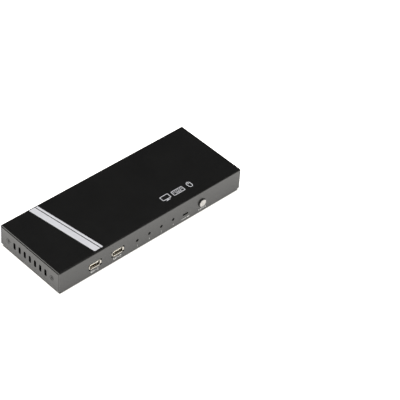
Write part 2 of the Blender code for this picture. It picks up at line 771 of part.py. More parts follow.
def make_dc_jack():
    mouth_y = REAR_Y + REAR_PROUD
    z = ON_BOARD + DC_JACK[1] / 2
    size = (DC_JACK[0], DC_JACK_DEPTH, DC_JACK[1])
    mesh = block_mesh("dc_jack_body", size, 0.0006, (0, 1, 0), 2)
    body = place("dc_jack_body", mesh, (DC_JACK_X, mouth_y - DC_JACK_DEPTH / 2, z), "socket_plastic")
    bore = rod_mesh("dc_bore", DC_JACK_BORE_RADIUS, 2 * DC_JACK_BORE_DEPTH)
    cut(body, place("dc_bore", bore, (DC_JACK_X, mouth_y, z), turned=ALONG_Y))
    pin_y = mouth_y - DC_JACK_BORE_DEPTH + GAP + DC_JACK_PIN_LENGTH / 2
    pin = rod_mesh("dc_jack_pin", DC_JACK_PIN_RADIUS, DC_JACK_PIN_LENGTH, segments=16)
    pin_part = place("dc_jack_pin", pin, (DC_JACK_X, pin_y, z), "zinc_steel", ALONG_Y)
    shade_round(pin_part)


# Indicators and select button


def make_led(number, x):
    """A domed lens on a square holder that stands on the board."""
    tip_y = FRONT_Y + LED_TIP_RECESS
    name = f"status_led_{number}"
    dome = [
        (LED_LENS_RADIUS * sin(step * pi / 8), LED_LENS_RADIUS * (cos(step * pi / 8) - 1))
        for step in range(5)
    ]
    profile = [(max(radius, 0.0), height) for radius, height in dome]
    profile += [(LED_LENS_RADIUS, -LED_LENS_LENGTH), (0.0, -LED_LENS_LENGTH)]
    lens = place(name, profile_mesh(name, profile), (x, tip_y, LED_Z), "led_lens", FACING_FRONT)
    turn(lens, steps=16)
    width, depth = LED_HOLDER
    top_z = LED_Z + width / 2
    holder_y = tip_y + LED_LENS_LENGTH - 0.0010 + depth / 2
    holder = block_mesh("led_holder", (width, depth, top_z - ON_BOARD))
    join(lens, place(f"holder_{name}", holder, (x, holder_y, (top_z + ON_BOARD) / 2)))


def make_select_button():
    """The cap slides along Y. Its origin, like its plunger's, is on the joint's axis."""
    front_y = FRONT_Y - BUTTON_PROUD
    rear_y = front_y + BUTTON_CAP_LENGTH
    cap_mesh = rod_mesh("select_button", BUTTON_CAP_RADIUS, BUTTON_CAP_LENGTH, segments=32)
    middle = (BUTTON_X, (front_y + rear_y) / 2, BUTTON_Z)
    cap = place("select_button", cap_mesh, middle, "button_silver", ALONG_Y)
    round_edges(cap, 0.0005, segments=3, angle=radians(60))
    opening = PLUNGER_WIDTH + 2 * PLUNGER_CLEARANCE
    socket = block_mesh("plunger_socket", (opening, 2 * PLUNGER_SOCKET_DEPTH, opening))
    cut(cap, place("plunger_socket", socket, (BUTTON_X, rear_y, BUTTON_Z)))
    shade_round(cap)
    plunger_front = rear_y - PLUNGER_SOCKET_DEPTH + GAP
    plunger_mesh = block_mesh("switch_plunger", (PLUNGER_WIDTH, PLUNGER_LENGTH, PLUNGER_WIDTH))
    plunger_at = (BUTTON_X, plunger_front + PLUNGER_LENGTH / 2, BUTTON_Z)
    place("switch_plunger", plunger_mesh, plunger_at, "socket_plastic")


def make_select_switch():
    height = 2 * (BUTTON_Z - ON_BOARD)
    mesh = block_mesh("select_switch", (SWITCH_WIDTH, SWITCH_DEPTH, height))
    at = (BUTTON_X, SWITCH_FRONT_Y + SWITCH_DEPTH / 2, BUTTON_Z)
    switch = place("select_switch", mesh, at, "socket_plastic")
    opening = PLUNGER_WIDTH + 2 * PLUNGER_CLEARANCE
    bore = block_mesh("switch_bore", (opening, 2 * SWITCH_BORE_DEPTH, opening))
    cut(switch, place("switch_bore", bore, (BUTTON_X, SWITCH_FRONT_Y, BUTTON_Z)))


# Assembly

make_upper_shell()
make_base_tray()
make_case_screws()
make_feet()
make_main_board()
make_standoffs()
make_board_screws()
make_moulded_components()
make_heat_sink()
make_capacitors()
for socket_number, socket_x in enumerate(USB_A_X, 1):
    make_usb_a(socket_number, socket_x)
make_remote_port()
for socket_number, socket_x in enumerate(HDMI_IN_X, 1):
    make_hdmi(f"hdmi_in_shell_{socket_number}", f"hdmi_in_tongue_{socket_number}", socket_x)
make_hdmi("hdmi_out_shell", "hdmi_out_tongue", HDMI_OUT_X)
for socket_number, socket_x in enumerate(USB_B_X, 1):
    make_usb_b(socket_number, socket_x)
make_dc_jack()
for led_number, led_x in enumerate(LED_X, 1):
    make_led(led_number, led_x)
make_select_button()
make_select_switch()
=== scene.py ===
"""The look of a four-way desktop KVM switch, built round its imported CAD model.

Everything is in metres in the CAD frame: +X runs to the right along the front, +Y to the rear and +Z up.
"""

from math import cos, hypot, pi, radians, sin, tan

import bmesh
import bpy
from mathutils import Matrix, Vector


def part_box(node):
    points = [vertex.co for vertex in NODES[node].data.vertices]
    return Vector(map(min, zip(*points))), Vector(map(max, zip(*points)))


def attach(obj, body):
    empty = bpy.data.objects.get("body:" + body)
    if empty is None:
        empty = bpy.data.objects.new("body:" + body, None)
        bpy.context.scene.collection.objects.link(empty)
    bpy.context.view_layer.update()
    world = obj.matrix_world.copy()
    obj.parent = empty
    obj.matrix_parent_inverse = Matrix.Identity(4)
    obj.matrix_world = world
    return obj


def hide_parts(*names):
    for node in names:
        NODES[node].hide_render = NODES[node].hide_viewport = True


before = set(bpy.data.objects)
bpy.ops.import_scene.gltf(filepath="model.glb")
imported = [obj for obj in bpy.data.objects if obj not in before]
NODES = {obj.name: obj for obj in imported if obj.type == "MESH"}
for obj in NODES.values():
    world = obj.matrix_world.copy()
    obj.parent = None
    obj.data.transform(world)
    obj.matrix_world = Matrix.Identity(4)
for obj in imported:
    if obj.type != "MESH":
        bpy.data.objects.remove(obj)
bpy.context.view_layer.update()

# Sheet metal
SHEET = 0.0012
BEND_RADIUS = 0.0016
GAP = 0.0003
EDGE = 0.00014
CORNERS = [(x, y) for x in (-1, 1) for y in (-1, 1)]
CORNER_NOTCH = (0.0020, 0.0013)
EAR = (0.0160, 0.0130)
EAR_CORNER_RADIUS = 0.0015
SLOT_COUNT = 7
SLOT_PITCH = 0.0079
SLOT_SIZE = (0.0032, 0.0085)
SLOT_HEIGHT_ABOVE_BOTTOM = 0.0120
CUT_CLEARANCE = 0.0004
CUT_CORNER_RADIUS = 0.0004
REMOTE_CUT_OUT = (0.0072, 0.0022)
LED_HOLE_RADIUS = 0.0017
BUTTON_HOLE_RADIUS = 0.0050

# Screws: the recess is the driver's cross
CASE_SCREW_HEAD_RADIUS = 0.00275
CASE_SCREW_SHANK_RADIUS = 0.00130
CASE_SCREW_HEAD_DEPTH = 0.0012
CASE_SCREW_HOLE_DEPTH = 0.0040
CASE_SCREW_LENGTH = 0.0062
THREAD_TURNS = 10
THREAD_PITCH = 0.0005
THREAD_DEPTH = 0.00026
RECESS_SPAN = 0.0030
RECESS_WIDTH = 0.00072
RECESS_DEPTH = 0.0009
RECESS_TURN = radians(20)

# Sockets: windows are (x, y, z) sizes, fingers are (width, length, depth of the root)
OVERLAP = 0.0001
WALL_INTO_FINGER = 0.00006
CONTACT_LIFT = 0.00002
COMPUTERS = (1, 2, 3, 4)
USB_A_NUMBERS = (1, 2)
USB_A_TUBE = (0.0133, 0.0059)
USB_A_MOUTH = (0.0125, 0.0051)
USB_A_THROAT_DEPTH = 0.0007
USB_A_LIP_REACH = (0.00155, 0.00105)
USB_A_LIPS = tuple(mouth + 2 * reach for mouth, reach in zip(USB_A_MOUTH, USB_A_LIP_REACH))
USB_A_WINDOW = (0.0026, 0.0050, 0.0012)
USB_A_WINDOW_DEPTH = 0.0038
USB_A_FINGER_U = 0.0031
USB_A_FINGER = (0.0019, 0.0044, 0.0058)
USB_A_BLOCK = (0.0123, 0.0049)
USB_A_CONTACTS_U = (-0.0035, -0.0010, 0.0010, 0.0035)
LIP_THICKNESS = 0.00034
LIP_TAPER = 0.0009
LIP_END_GAP = 0.0002
REMOTE_SHELL = (0.0076, 0.0025)
REMOTE_MOUTH = (0.0069, 0.0018)
REMOTE_CHAMFER = 0.0008
REMOTE_CATCH = (0.0007, 0.0012, 0.0012)
REMOTE_CATCH_DEPTH = 0.0020
REMOTE_CATCH_U = 0.0019
HDMI_SHELL = (0.0150, 0.0060)
HDMI_WALL = 0.0004
HDMI_CHAMFER = 0.0020
HDMI_WINDOW = (0.0024, 0.0042, 0.0012)
HDMI_WINDOW_DEPTH = 0.0036
HDMI_FINGER_U = 0.0036
HDMI_FINGER = (0.0017, 0.0036, 0.0052)
USB_B_SHELL = (0.0120, 0.0110)
USB_B_WRAP = 0.00035
USB_B_MOUTH = (0.0086, 0.0079)
USB_B_MOUTH_DEPTH = 0.0092
USB_B_CHAMFER = 0.0018
DC_JACK_FACE = (0.0090, 0.0110)
DC_JACK_BORE_RADIUS = 0.00315
DC_JACK_BORE_DEPTH = 0.0095

# Indicators and button
LED_CENTRE_BELOW_TOP = 0.0022
LED_LENS_RADIUS = 0.0014
LED_FLANGE = (0.0003, 0.0007)
LED_LENGTH = 0.0043
LED_HOLDER_WIDTH = 0.0044
BUTTON_RIM = 0.0006
BUTTON_SOCKET_DEPTH = 0.0026
BUTTON_SKIRT_TILT = 0.55

# Printed marks: a stripe is (its left edge at the back, its width)
PRINT_THICKNESS = 0.00003
STRIPE_LEAN = 0.0125
STRIPES = {"wide": (-0.0865, 0.0072), "narrow": (-0.0783, 0.0026)}
TOP_LINE = 0.00075
FRONT_LINE = 0.00030

# Floor: it glows less beside the case than far from it, a painted shadow round the case and under it
FLOOR_RADIUS = 12.0
FOOTPRINT = (0.120, 0.045, 0.0)
FLOOR_GLOW = (0.93, 2.20)
FLOOR_GLOW_COLOUR = (1.0, 0.975, 0.925, 1.0)
FLOOR_SHADE_REACH = 0.055
UNDERSIDE_SHADE = (-0.0014, -0.0006)
UNDERSIDE_GLOW = 0.04


# Camera, light and floor


def make_camera():
    azimuth = radians(-46.2557)
    elevation = radians(41.7477)
    roll = radians(4.6444)
    back = Vector((sin(azimuth) * cos(elevation), -cos(azimuth) * cos(elevation), sin(elevation)))
    level_right = Vector((cos(azimuth), sin(azimuth), 0.0))
    level_up = back.cross(level_right)
    right = level_right * cos(roll) + level_up * sin(roll)
    up = level_up * cos(roll) - level_right * sin(roll)
    place = (-0.8482, -0.9175, 1.1444)
    data = bpy.data.cameras.new("camera")
    data.sensor_width = 36.0
    data.lens = 150.66
    data.clip_start = 0.05
    data.clip_end = 50.0
    camera = bpy.data.objects.new("camera", data)
    bpy.context.scene.collection.objects.link(camera)
    turned = Matrix((right, up, back)).transposed().to_4x4()
    camera.matrix_world = Matrix.Translation(place) @ turned
    bpy.context.scene.camera = camera


def make_world():
    """Pale towards the horizon and dark overhead, so the top of the case stays black."""
    world = bpy.data.worlds.new("studio")
    bpy.context.scene.world = world
    world.use_nodes = True
    nodes = world.node_tree.nodes
    links = world.node_tree.links
    background = nodes["Background"]
    directions = nodes.new("ShaderNodeTexCoord")
    split = nodes.new("ShaderNodeSeparateXYZ")
    ramp = nodes.new("ShaderNodeValToRGB")
    ramp.color_ramp.interpolation = "EASE"
    ramp.color_ramp.elements[0].position = 0.02
    ramp.color_ramp.elements[0].color = (0.80, 0.80, 0.80, 1.0)
    ramp.color_ramp.elements[1].position = 0.40
    ramp.color_ramp.elements[1].color = (0.035, 0.035, 0.037, 1.0)
    links.new(directions.outputs["Generated"], split.inputs["Vector"])
    links.new(split.outputs["Z"], ramp.inputs["Fac"])
    links.new(ramp.outputs["Color"], background.inputs["Color"])


def make_light(name, location, size, power):
    data = bpy.data.lights.new(name, "AREA")
    data.shape = "DISK"
    data.size = size
    data.energy = power
    light = bpy.data.objects.new(name, data)
    bpy.context.scene.collection.objects.link(light)
    light.location = location
    light.rotation_euler = (-Vector(location)).to_track_quat("-Z", "Y").to_euler()


def make_floor():
    """A pale floor that glows, less so close to the case and under it: a painted shadow where the case would
    shade it.
    """
    shape = bmesh.new()
    bmesh.ops.create_circle(shape, cap_ends=True, segments=96, radius=FLOOR_RADIUS)
    mesh = bpy.data.meshes.new("floor")
    shape.to_mesh(mesh)
    shape.free()
    floor = bpy.data.objects.new("floor", mesh)
    bpy.context.scene.collection.objects.link(floor)
    material = finish(
        "studio_floor", (0.86, 0.86, 0.86), 0.75, tint=0.02, mottling=3.0, grain=900.0, depth=0.00002
    )
    vectors, numbers = "ShaderNodeVectorMath", "ShaderNodeMath"
    where = node(material, "ShaderNodeTexCoord").outputs["Object"]
    size = maths(material, vectors, "ABSOLUTE", where)["Vector"]
    past = maths(material, vectors, "SUBTRACT", size, FOOTPRINT)["Vector"]
    outside = maths(material, vectors, "MAXIMUM", past)["Vector"]
    distance = maths(material, vectors, "LENGTH", outside)["Value"]
    sides = node(material, "ShaderNodeSeparateXYZ", Vector=past).outputs
    nearer = maths(material, numbers, "MAXIMUM", sides["X"], sides["Y"])["Value"]
    # Painted shadow: the glow drops under the case and close beside it
    under = spread(material, nearer, UNDERSIDE_GLOW, 1.0, *UNDERSIDE_SHADE)
    painted_shadow_glow = spread(material, distance, *FLOOR_GLOW, 0.0, FLOOR_SHADE_REACH)
    strength = maths(material, numbers, "MULTIPLY", painted_shadow_glow, under)["Value"]
    shader = shader_of(material)
    shader.inputs["Emission Color"].default_value = FLOOR_GLOW_COLOUR
    feed(material, strength, shader.inputs["Emission Strength"])
    mesh.materials.append(material)


# Materials


def feed(material, value, socket):
    """Gives a node's input a value or another node's output."""
    if isinstance(value, bpy.types.NodeSocket):
        material.node_tree.links.new(value, socket)
    else:
        socket.default_value = value


def node(material, kind, **settings):
    made = material.node_tree.nodes.new(kind)
    for key, value in settings.items():
        if key in made.inputs:
            feed(material, value, made.inputs[key])
        else:
            setattr(made, key, value)
    return made


def maths(material, kind, operation, *values):
    """The outputs of a math node."""
    made = node(material, kind, operation=operation)
    for value, socket in zip(values, made.inputs):
        feed(material, value, socket)
    return made.outputs


def shader_of(material):
    return material.node_tree.nodes["Principled BSDF"]


def coordinates(material, stretch=(1.0, 1.0, 1.0)):
    """Metres in the object's own space, scaled to draw a pattern out along an axis."""
    own = node(material, "ShaderNodeTexCoord").outputs["Object"]
    return node(material, "ShaderNodeMapping", Vector=own, Scale=stretch).outputs["Vector"]


def noise(material, where, scale, detail):
    return node(material, "ShaderNodeTexNoise", Vector=where, Scale=scale, Detail=detail).outputs["Fac"]


def spread(material, source, low, high, start=0.32, end=0.68):
    """Maps a value to a range. The default ends suit a noise."""
    ends = {"From Min": start, "From Max": end, "To Min": low, "To Max": high}
    return node(material, "ShaderNodeMapRange", Value=source, **ends).outputs["Result"]


def mixed(material, factor, first, second):
    """A colour between two colours, each of which may be another node's output."""
    made = node(material, "ShaderNodeMix", data_type="RGBA", Factor=factor)
    for colour, socket in ((first, made.inputs[6]), (second, made.inputs[7])):
        feed(material, (*colour, 1.0) if isinstance(colour, tuple) else colour, socket)
    return made.outputs[2]


def scaled(colour, factor):
    return tuple(min(channel * factor, 1.0) for channel in colour)


def finish(
    name,
    colour,
    roughness,
    metallic=0.0,
    tint=0.10,
    mottling=45.0,
    grain=2500.0,
    depth=0.00001,
    spread_of_roughness=0.05,
    stretch=(1.0, 1.0, 1.0),
    **sockets,
):
    """A material with mottled colour, uneven roughness and a fine surface grain. Scales are per metre."""
    material = bpy.data.materials.new(name)
    material.use_nodes = True
    shader = shader_of(material)
    shader.inputs["Metallic"].default_value = metallic
    for key, value in sockets.items():
        shader.inputs[key.replace("_", " ")].default_value = value
    where = coordinates(material, stretch)
    patches = noise(material, where, mottling, 5.0)
    mottle = spread(material, patches, 0.0, 1.0)
    blotch = mixed(material, mottle, scaled(colour, 1 - tint), scaled(colour, 1 + tint))
    feed(material, blotch, shader.inputs["Base Color"])
    polish = noise(material, where, grain / 9, 4.0)
    worn = spread(material, polish, roughness - spread_of_roughness, roughness + spread_of_roughness)
    feed(material, worn, shader.inputs["Roughness"])
    height = noise(material, where, grain, 2.0)
    bump = node(material, "ShaderNodeBump", Strength=1.0, Distance=depth, Height=height)
    feed(material, bump.outputs["Normal"], shader.inputs["Normal"])
    return material


def add_dust(material, colour, amount, scale):
    """Settled specks and faint smears over the base colour."""
    shader = shader_of(material)
    under = shader.inputs["Base Color"].links[0].from_socket
    where = coordinates(material)
    specks = spread(material, noise(material, where, scale, 6.0), 0.0, amount, 0.58, 0.80)
    feed(material, mixed(material, specks, under, colour), shader.inputs["Base Color"])


def make_board_finish():
    """Green solder mask with faint tracks under it and scattered tinned pads."""
    material = finish("solder_mask", (0.010, 0.085, 0.038), 0.30, tint=0.18, mottling=90.0, depth=0.000006)
    shader = shader_of(material)
    under = shader.inputs["Base Color"].links[0].from_socket
    where = coordinates(material)
    tracks = node(material, "ShaderNodeTexBrick", Vector=where, Scale=260.0, **{"Mortar Size": 0.07})
    tracked = mixed(material, tracks.outputs["Fac"], under, (0.030, 0.170, 0.080))
    pads = node(material, "ShaderNodeTexVoronoi", Vector=where, Scale=420.0)
    dots = spread(material, pads.outputs["Distance"], 1.0, 0.0, 0.10, 0.14)
    feed(material, mixed(material, dots, tracked, (0.55, 0.54, 0.50)), shader.inputs["Base Color"])
    return material


COAT_LOOK = {"tint": 0.12, "mottling": 30.0, "grain": 2300.0, "depth": 0.00004, "spread_of_roughness": 0.018}
COAT = finish("powder_coat", (0.0085, 0.0083, 0.0079), 0.30, **COAT_LOOK)
TRAY_COAT = finish("tray_coat", (0.0085, 0.0083, 0.0079), 0.32, **COAT_LOOK)
RUBBED_COAT = finish("rubbed_coat", (0.022, 0.022, 0.021), 0.26, tint=0.35, mottling=700.0, depth=0.00001)
for coat in (COAT, TRAY_COAT):
    add_dust(coat, (0.10, 0.10, 0.095), 0.02, 90.0)
INK = finish("white_ink", (0.80, 0.80, 0.83), 0.50, tint=0.03, mottling=160.0, grain=3500.0, depth=0.000006)
# The top's white ink, painted darker for the front and rear faces: painted shade where the glowing floor
# lights them strongly
SIDE_INK_PAINTED_SHADE = finish(
    "side_ink_painted_shade", (0.60, 0.60, 0.59), 0.50, tint=0.05, mottling=300.0, grain=3500.0, depth=0.000006
)
STEEL = finish(
    "tinned_steel",
    (0.43, 0.41, 0.37),
    0.27,
    1.0,
    tint=0.05,
    mottling=350.0,
    stretch=(1.0, 9.0, 1.0),
    depth=0.000004,
)
ZINC = finish("zinc_plate", (0.62, 0.62, 0.60), 0.34, 1.0, tint=0.14, mottling=400.0, depth=0.000005)
ALUMINIUM = finish(
    "drawn_aluminium", (0.70, 0.71, 0.72), 0.33, 1.0, tint=0.06, stretch=(1.0, 14.0, 1.0), depth=0.000006
)
BRASS = finish(
    "turned_brass", (0.72, 0.55, 0.26), 0.28, 1.0, tint=0.12, stretch=(1.0, 1.0, 12.0), depth=0.000005
)
GOLD = finish("contact_gold", (0.83, 0.62, 0.28), 0.24, 1.0, tint=0.08, mottling=900.0, depth=0.000002)
SCREW_BLACK = finish(
    "black_oxide", (0.020, 0.020, 0.020), 0.36, 0.55, tint=0.30, mottling=900.0, depth=0.000008
)
RUBBER = finish(
    "foot_rubber", (0.014, 0.014, 0.014), 0.82, tint=0.25, mottling=300.0, grain=4200.0, depth=0.00003
)
BLACK_PLASTIC = finish("black_moulding", (0.020, 0.020, 0.021), 0.42, tint=0.15, mottling=400.0, grain=5200.0)
IVORY_PLASTIC = finish(
    "ivory_moulding",
    (0.68, 0.645, 0.555),
    0.42,
    tint=0.04,
    mottling=300.0,
    grain=5200.0,
    Subsurface_Weight=0.10,
    Subsurface_Radius=(0.0010, 0.0008, 0.0005),
)
CHIP = finish(
    "chip_epoxy", (0.018, 0.018, 0.020), 0.48, tint=0.20, mottling=600.0, grain=6000.0, depth=0.000008
)
BUTTON_SILVER = finish(
    "satin_silver", (0.40, 0.388, 0.370), 0.34, 0.30, tint=0.03, mottling=250.0, grain=6000.0, depth=0.000003
)
BUTTON_SKIRT = finish("button_skirt", (0.022, 0.022, 0.022), 0.45, tint=0.15, mottling=400.0, grain=5200.0)
LENS = finish(
    "smoked_lens", (0.055, 0.058, 0.050), 0.12, tint=0.12, mottling=300.0, depth=0.000002, Coat_Weight=0.5
)
BOARD = make_board_finish()


# Mesh building


def to_mesh(shape):
    mesh = bpy.data.meshes.new("shape")
    shape.to_mesh(mesh)
    shape.free()
    return mesh


def placed(shape, matrix):
    """The shape as a mesh, moved to its place, with its faces turned outwards."""
    bmesh.ops.transform(shape, matrix=matrix, verts=shape.verts)
    bmesh.ops.recalc_face_normals(shape, faces=shape.faces)
    return to_mesh(shape)


def evaluated(holder):
    """The mesh that an object gives with its modifiers. The object itself is removed."""
    bpy.context.scene.collection.objects.link(holder)
    graph = bpy.context.evaluated_depsgraph_get()
    mesh = bpy.data.meshes.new_from_object(holder.evaluated_get(graph))
    bpy.data.objects.remove(holder, do_unlink=True)
    return mesh


def modified(mesh, kind, **settings):
    """The mesh with one modifier applied."""
    holder = bpy.data.objects.new("holder", mesh)
    modifier = holder.modifiers.new(kind.lower(), kind)
    for key, value in settings.items():
        setattr(modifier, key, value)
    return evaluated(holder)


def combined(mesh, tool, operation):
    """The mesh with another mesh added to it or cut out of it."""
    holder = bpy.data.objects.new("tool", tool)
    bpy.context.scene.collection.objects.link(holder)
    made = modified(mesh, "BOOLEAN", operation=operation, object=holder, solver="EXACT")
    bpy.data.objects.remove(holder, do_unlink=True)
    return made


def cut(mesh, tool):
    return combined(mesh, tool, "DIFFERENCE")


def joined(mesh, tool):
    return combined(mesh, tool, "UNION")


def softened(mesh, width=EDGE, segments=2, worn=-1):
    """Small round-overs on every sharp edge, with flat faces kept flat in the shading."""
    made = modified(
        mesh,
        "BEVEL",
        width=width,
        segments=segments,
        limit_method="ANGLE",
        angle_limit=radians(50),
        miter_outer="MITER_ARC",
        material=worn,
    )
    return smoothed(made)


def smoothed(mesh, angle=38.0):
    mesh.shade_smooth()
    mesh.set_sharp_from_angle(angle=radians(angle))
    return modified(mesh, "WEIGHTED_NORMAL", keep_sharp=True)


def add_block(shape, centre, size, radius=0.0, axis=(0, 0, 1), segments=4):
    """Adds a box to a shape, with the edges along axis rounded if a radius is given."""
    made = bmesh.ops.create_cube(shape, size=1.0)["verts"]
    bmesh.ops.scale(shape, vec=size, verts=made)
    if radius:
        along = Vector(axis)
        edges = {edge for vert in made for edge in vert.link_edges}
        picked = [e for e in edges if abs((e.verts[1].co - e.verts[0].co).normalized().dot(along)) > 0.99]
        bevelled = bmesh.ops.bevel(
            shape, geom=picked, offset=radius, segments=segments, profile=0.5, affect="EDGES"
        )
        made = list({vert for vert in made if vert.is_valid} | set(bevelled["verts"]))
    bmesh.ops.translate(shape, vec=centre, verts=made)


def add_rod(shape, centre, radius, length, turned, segments):
    """Adds a cylinder that is along Z until it is turned about X and Y."""
    turn = Matrix.Rotation(turned[0], 4, "X") @ Matrix.Rotation(turned[1], 4, "Y")
    bmesh.ops.create_cone(
        shape,
        cap_ends=True,
        segments=segments,
        radius1=radius,
        radius2=radius,
        depth=length,
        matrix=Matrix.Translation(centre) @ turn,
    )


def side_matrix(side, at):
    """Axes of a face of the case as its viewer sees it: u to the right, v up and n out of the face."""
    u, v, n = {
        "front": ((1, 0, 0), (0, 0, 1), (0, -1, 0)),
        "rear": ((-1, 0, 0), (0, 0, 1), (0, 1, 0)),
        "left": ((0, -1, 0), (0, 0, 1), (-1, 0, 0)),
        "right": ((0, 1, 0), (0, 0, 1), (1, 0, 0)),
        "top": ((1, 0, 0), (0, 1, 0), (0, 0, 1)),
    }[side]
    return Matrix.Translation(at) @ Matrix((u, v, n)).transposed().to_4x4()


def plate(loops, low, high, matrix, bevel=0.0, bevel_segments=2):
    """A solid between two heights along n, from closed loops of (u, v): loops inside others are holes."""
    curve = bpy.data.curves.new("plate", "CURVE")
    curve.dimensions = "2D"
    curve.fill_mode = "BOTH"
    curve.extrude = (high - low) / 2 - bevel
    curve.bevel_depth = bevel
    curve.bevel_resolution = bevel_segments
    curve.offset = -bevel
    for loop in loops:
        spline = curve.splines.new("POLY")
        spline.points.add(len(loop) - 1)
        for point, (u, v) in zip(spline.points, loop):
            point.co = (u, v, 0.0, 1.0)
        spline.use_cyclic_u = True
    flat = evaluated(bpy.data.objects.new("plate", curve))
    bpy.data.curves.remove(curve)
    shape = bmesh.new()
    shape.from_mesh(flat)
    bmesh.ops.remove_doubles(shape, verts=shape.verts, dist=1e-7)
    bmesh.ops.translate(shape, vec=(0.0, 0.0, (low + high) / 2), verts=shape.verts)
    return placed(shape, matrix)


def turned_mesh(profile, matrix, segments=48):
    """A closed turned solid: (radius, height) pairs from the top of the axis to its foot, heights along n."""
    shape = bmesh.new()
    rings = []
    for radius, height in profile:
        if radius < 1e-9:
            rings.append([shape.verts.new((0.0, 0.0, height))])
            continue
        steps = [2 * pi * step / segments for step in range(segments)]
        rings.append([shape.verts.new((radius * cos(a), radius * sin(a), height)) for a in steps])
    for upper, lower in zip(rings, rings[1:]):
        for step in range(segments):
            after = (step + 1) % segments
            corners = [upper[step % len(upper)], lower[step % len(lower)]]
            corners += [lower[after % len(lower)], upper[after % len(upper)]]
            unique = list(dict.fromkeys(corners))
            if len(unique) > 2:
                shape.faces.new(unique)
    return placed(shape, matrix)


def quarter_round(radius, steps, out=0.0, top=0.0):
    """The part of a turned profile that rounds over from a flat top into a side."""
    angles = [step * pi / 2 / steps for step in range(steps + 1)]
    return [(out + radius * sin(angle), top + radius * (cos(angle) - 1)) for angle in angles]


def bridge(shape, first, second):
    """Adds the faces between two closed rings."""
    for step in range(len(first)):
        after = (step + 1) % len(first)
        shape.faces.new((first[step], first[after], second[after], second[step]))


def merged(meshes):
    """Several separate closed meshes in one."""
    shape = bmesh.new()
    for mesh in meshes:
        shape.from_mesh(mesh)
    return to_mesh(shape)


def show(name, mesh, materials, stands_for=(), body="case"):
    """Puts a finished piece on its body, in place of the CAD nodes that it stands for."""
    mesh.name = name
    mesh.materials.clear()
    for material in materials:
        mesh.materials.append(material)
    piece = bpy.data.objects.new(name, mesh)
    bpy.context.scene.collection.objects.link(piece)
    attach(piece, body)
    if stands_for:
        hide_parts(*stands_for)
    return piece


# Outlines, as (u, v) points


def filleted(points, radius):
    """A polygon with its corners rounded."""
    segments = 5
    made = []
    for index, corner in enumerate(points):
        here = Vector(corner)
        before = (Vector(points[index - 1]) - here).normalized()
        after = (Vector(points[(index + 1) % len(points)]) - here).normalized()
        half_angle = before.angle(after) / 2
        reach = radius / tan(half_angle)
        centre = here + (before + after).normalized() * (radius / sin(half_angle))
        start = here + before * reach - centre
        end = here + after * reach - centre
        for step in range(segments + 1):
            share = step / segments
            made.append(tuple(centre + start.slerp(end, share).normalized() * radius))
    return made


def rectangle(width, height, at=(0.0, 0.0)):
    half_width = width / 2
    half_height = height / 2
    u, v = at
    return [
        (u - half_width, v - half_height),
        (u + half_width, v - half_height),
        (u + half_width, v + half_height),
        (u - half_width, v + half_height),
    ]


def round_rectangle(width, height, radius, at=(0.0, 0.0)):
    return filleted(rectangle(width, height, at), radius)


def circle(radius, segments):
    steps = [2 * pi * step / segments for step in range(segments)]
    return [(radius * cos(a), radius * sin(a)) for a in steps]


def chamfered(width, height, chamfer, corners):
    """A rectangle with its lower (-1) or upper (+1) two corners cut off."""
    half_width = width / 2
    half_height = height / 2
    points = [
        (-half_width, -corners * half_height),
        (half_width, -corners * half_height),
        (half_width, corners * (half_height - chamfer)),
        (half_width - chamfer, corners * half_height),
        (chamfer - half_width, corners * half_height),
        (-half_width, corners * (half_height - chamfer)),
    ]
    return points if corners > 0 else points[::-1]


# Places read from the CAD nodes


def centre_of(name):
    low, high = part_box(name)
    return (low + high) / 2


def corner_name(kind, x, y):
    return f"{kind}_{'front' if y < 0 else 'rear'}_{'left' if x < 0 else 'right'}"


def face_of(name, side):
    """The middle of a node's front or rear face, and the node's depth behind it."""
    low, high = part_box(name)
    at = Vector(((low.x + high.x) / 2, low.y if side == "front" else high.y, (low.z + high.z) / 2))
    return at, high.y - low.y


def span_of(name, at, side):
    """A node's (width, height), the height of its middle over a point, and its ends along n from there."""
    low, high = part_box(name)
    outwards = -1 if side == "front" else 1
    back, front = sorted(outwards * (y - at.y) for y in (low.y, high.y))
    return (high.x - low.x, high.z - low.z), (low.z + high.z) / 2 - at.z, back, front


def led_at(number):
    """The middle of an indicator's lens, which is near the top of its node."""
    low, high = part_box(f"status_led_{number}")
    return Vector(((low.x + high.x) / 2, low.y, high.z - LED_CENTRE_BELOW_TOP))


# Case


def swept_sheet(section, sweep):
    """An open sheet: a chain of straight edges swept by a vector."""
    shape = bmesh.new()
    chain = [shape.verts.new(point) for point in section]
    edges = [shape.edges.new(pair) for pair in zip(chain, chain[1:])]
    swept = bmesh.ops.extrude_edge_only(shape, edges=edges)
    far_side = [item for item in swept["geom"] if isinstance(item, bmesh.types.BMVert)]
    bmesh.ops.translate(shape, vec=sweep, verts=far_side)
    return to_mesh(shape)


def bent(mesh):
    """The sheet with round bends and the metal's thickness, inside the given faces."""
    made = modified(
        mesh, "BEVEL", width=BEND_RADIUS, segments=8, limit_method="ANGLE", angle_limit=radians(40)
    )
    return modified(made, "SOLIDIFY", thickness=SHEET, offset=-1.0, use_even_offset=True)


def screw_spots():
    """Where the four case screws' heads are, with the side that each one is on."""
    spots = []
    for x, y in CORNERS:
        name = corner_name("case_screw", x, y)
        low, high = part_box(name)
        at = Vector((low.x if x < 0 else high.x, (low.y + high.y) / 2, (low.z + high.z) / 2))
        spots.append((name, "left" if x < 0 else "right", at))
    return spots


def add_hole(shape, size, x, y, z):
    add_block(shape, (x, y, z), (size[0], 4 * SHEET, size[1]), CUT_CORNER_RADIUS, (0, 1, 0))


def add_socket_hole(shape, node_name, size):
    """A cut-out with a little clearance round a socket."""
    at, _ = face_of(node_name, "front" if centre_of(node_name).y < 0 else "rear")
    add_hole(shape, [side + 2 * CUT_CLEARANCE for side in size], *at)


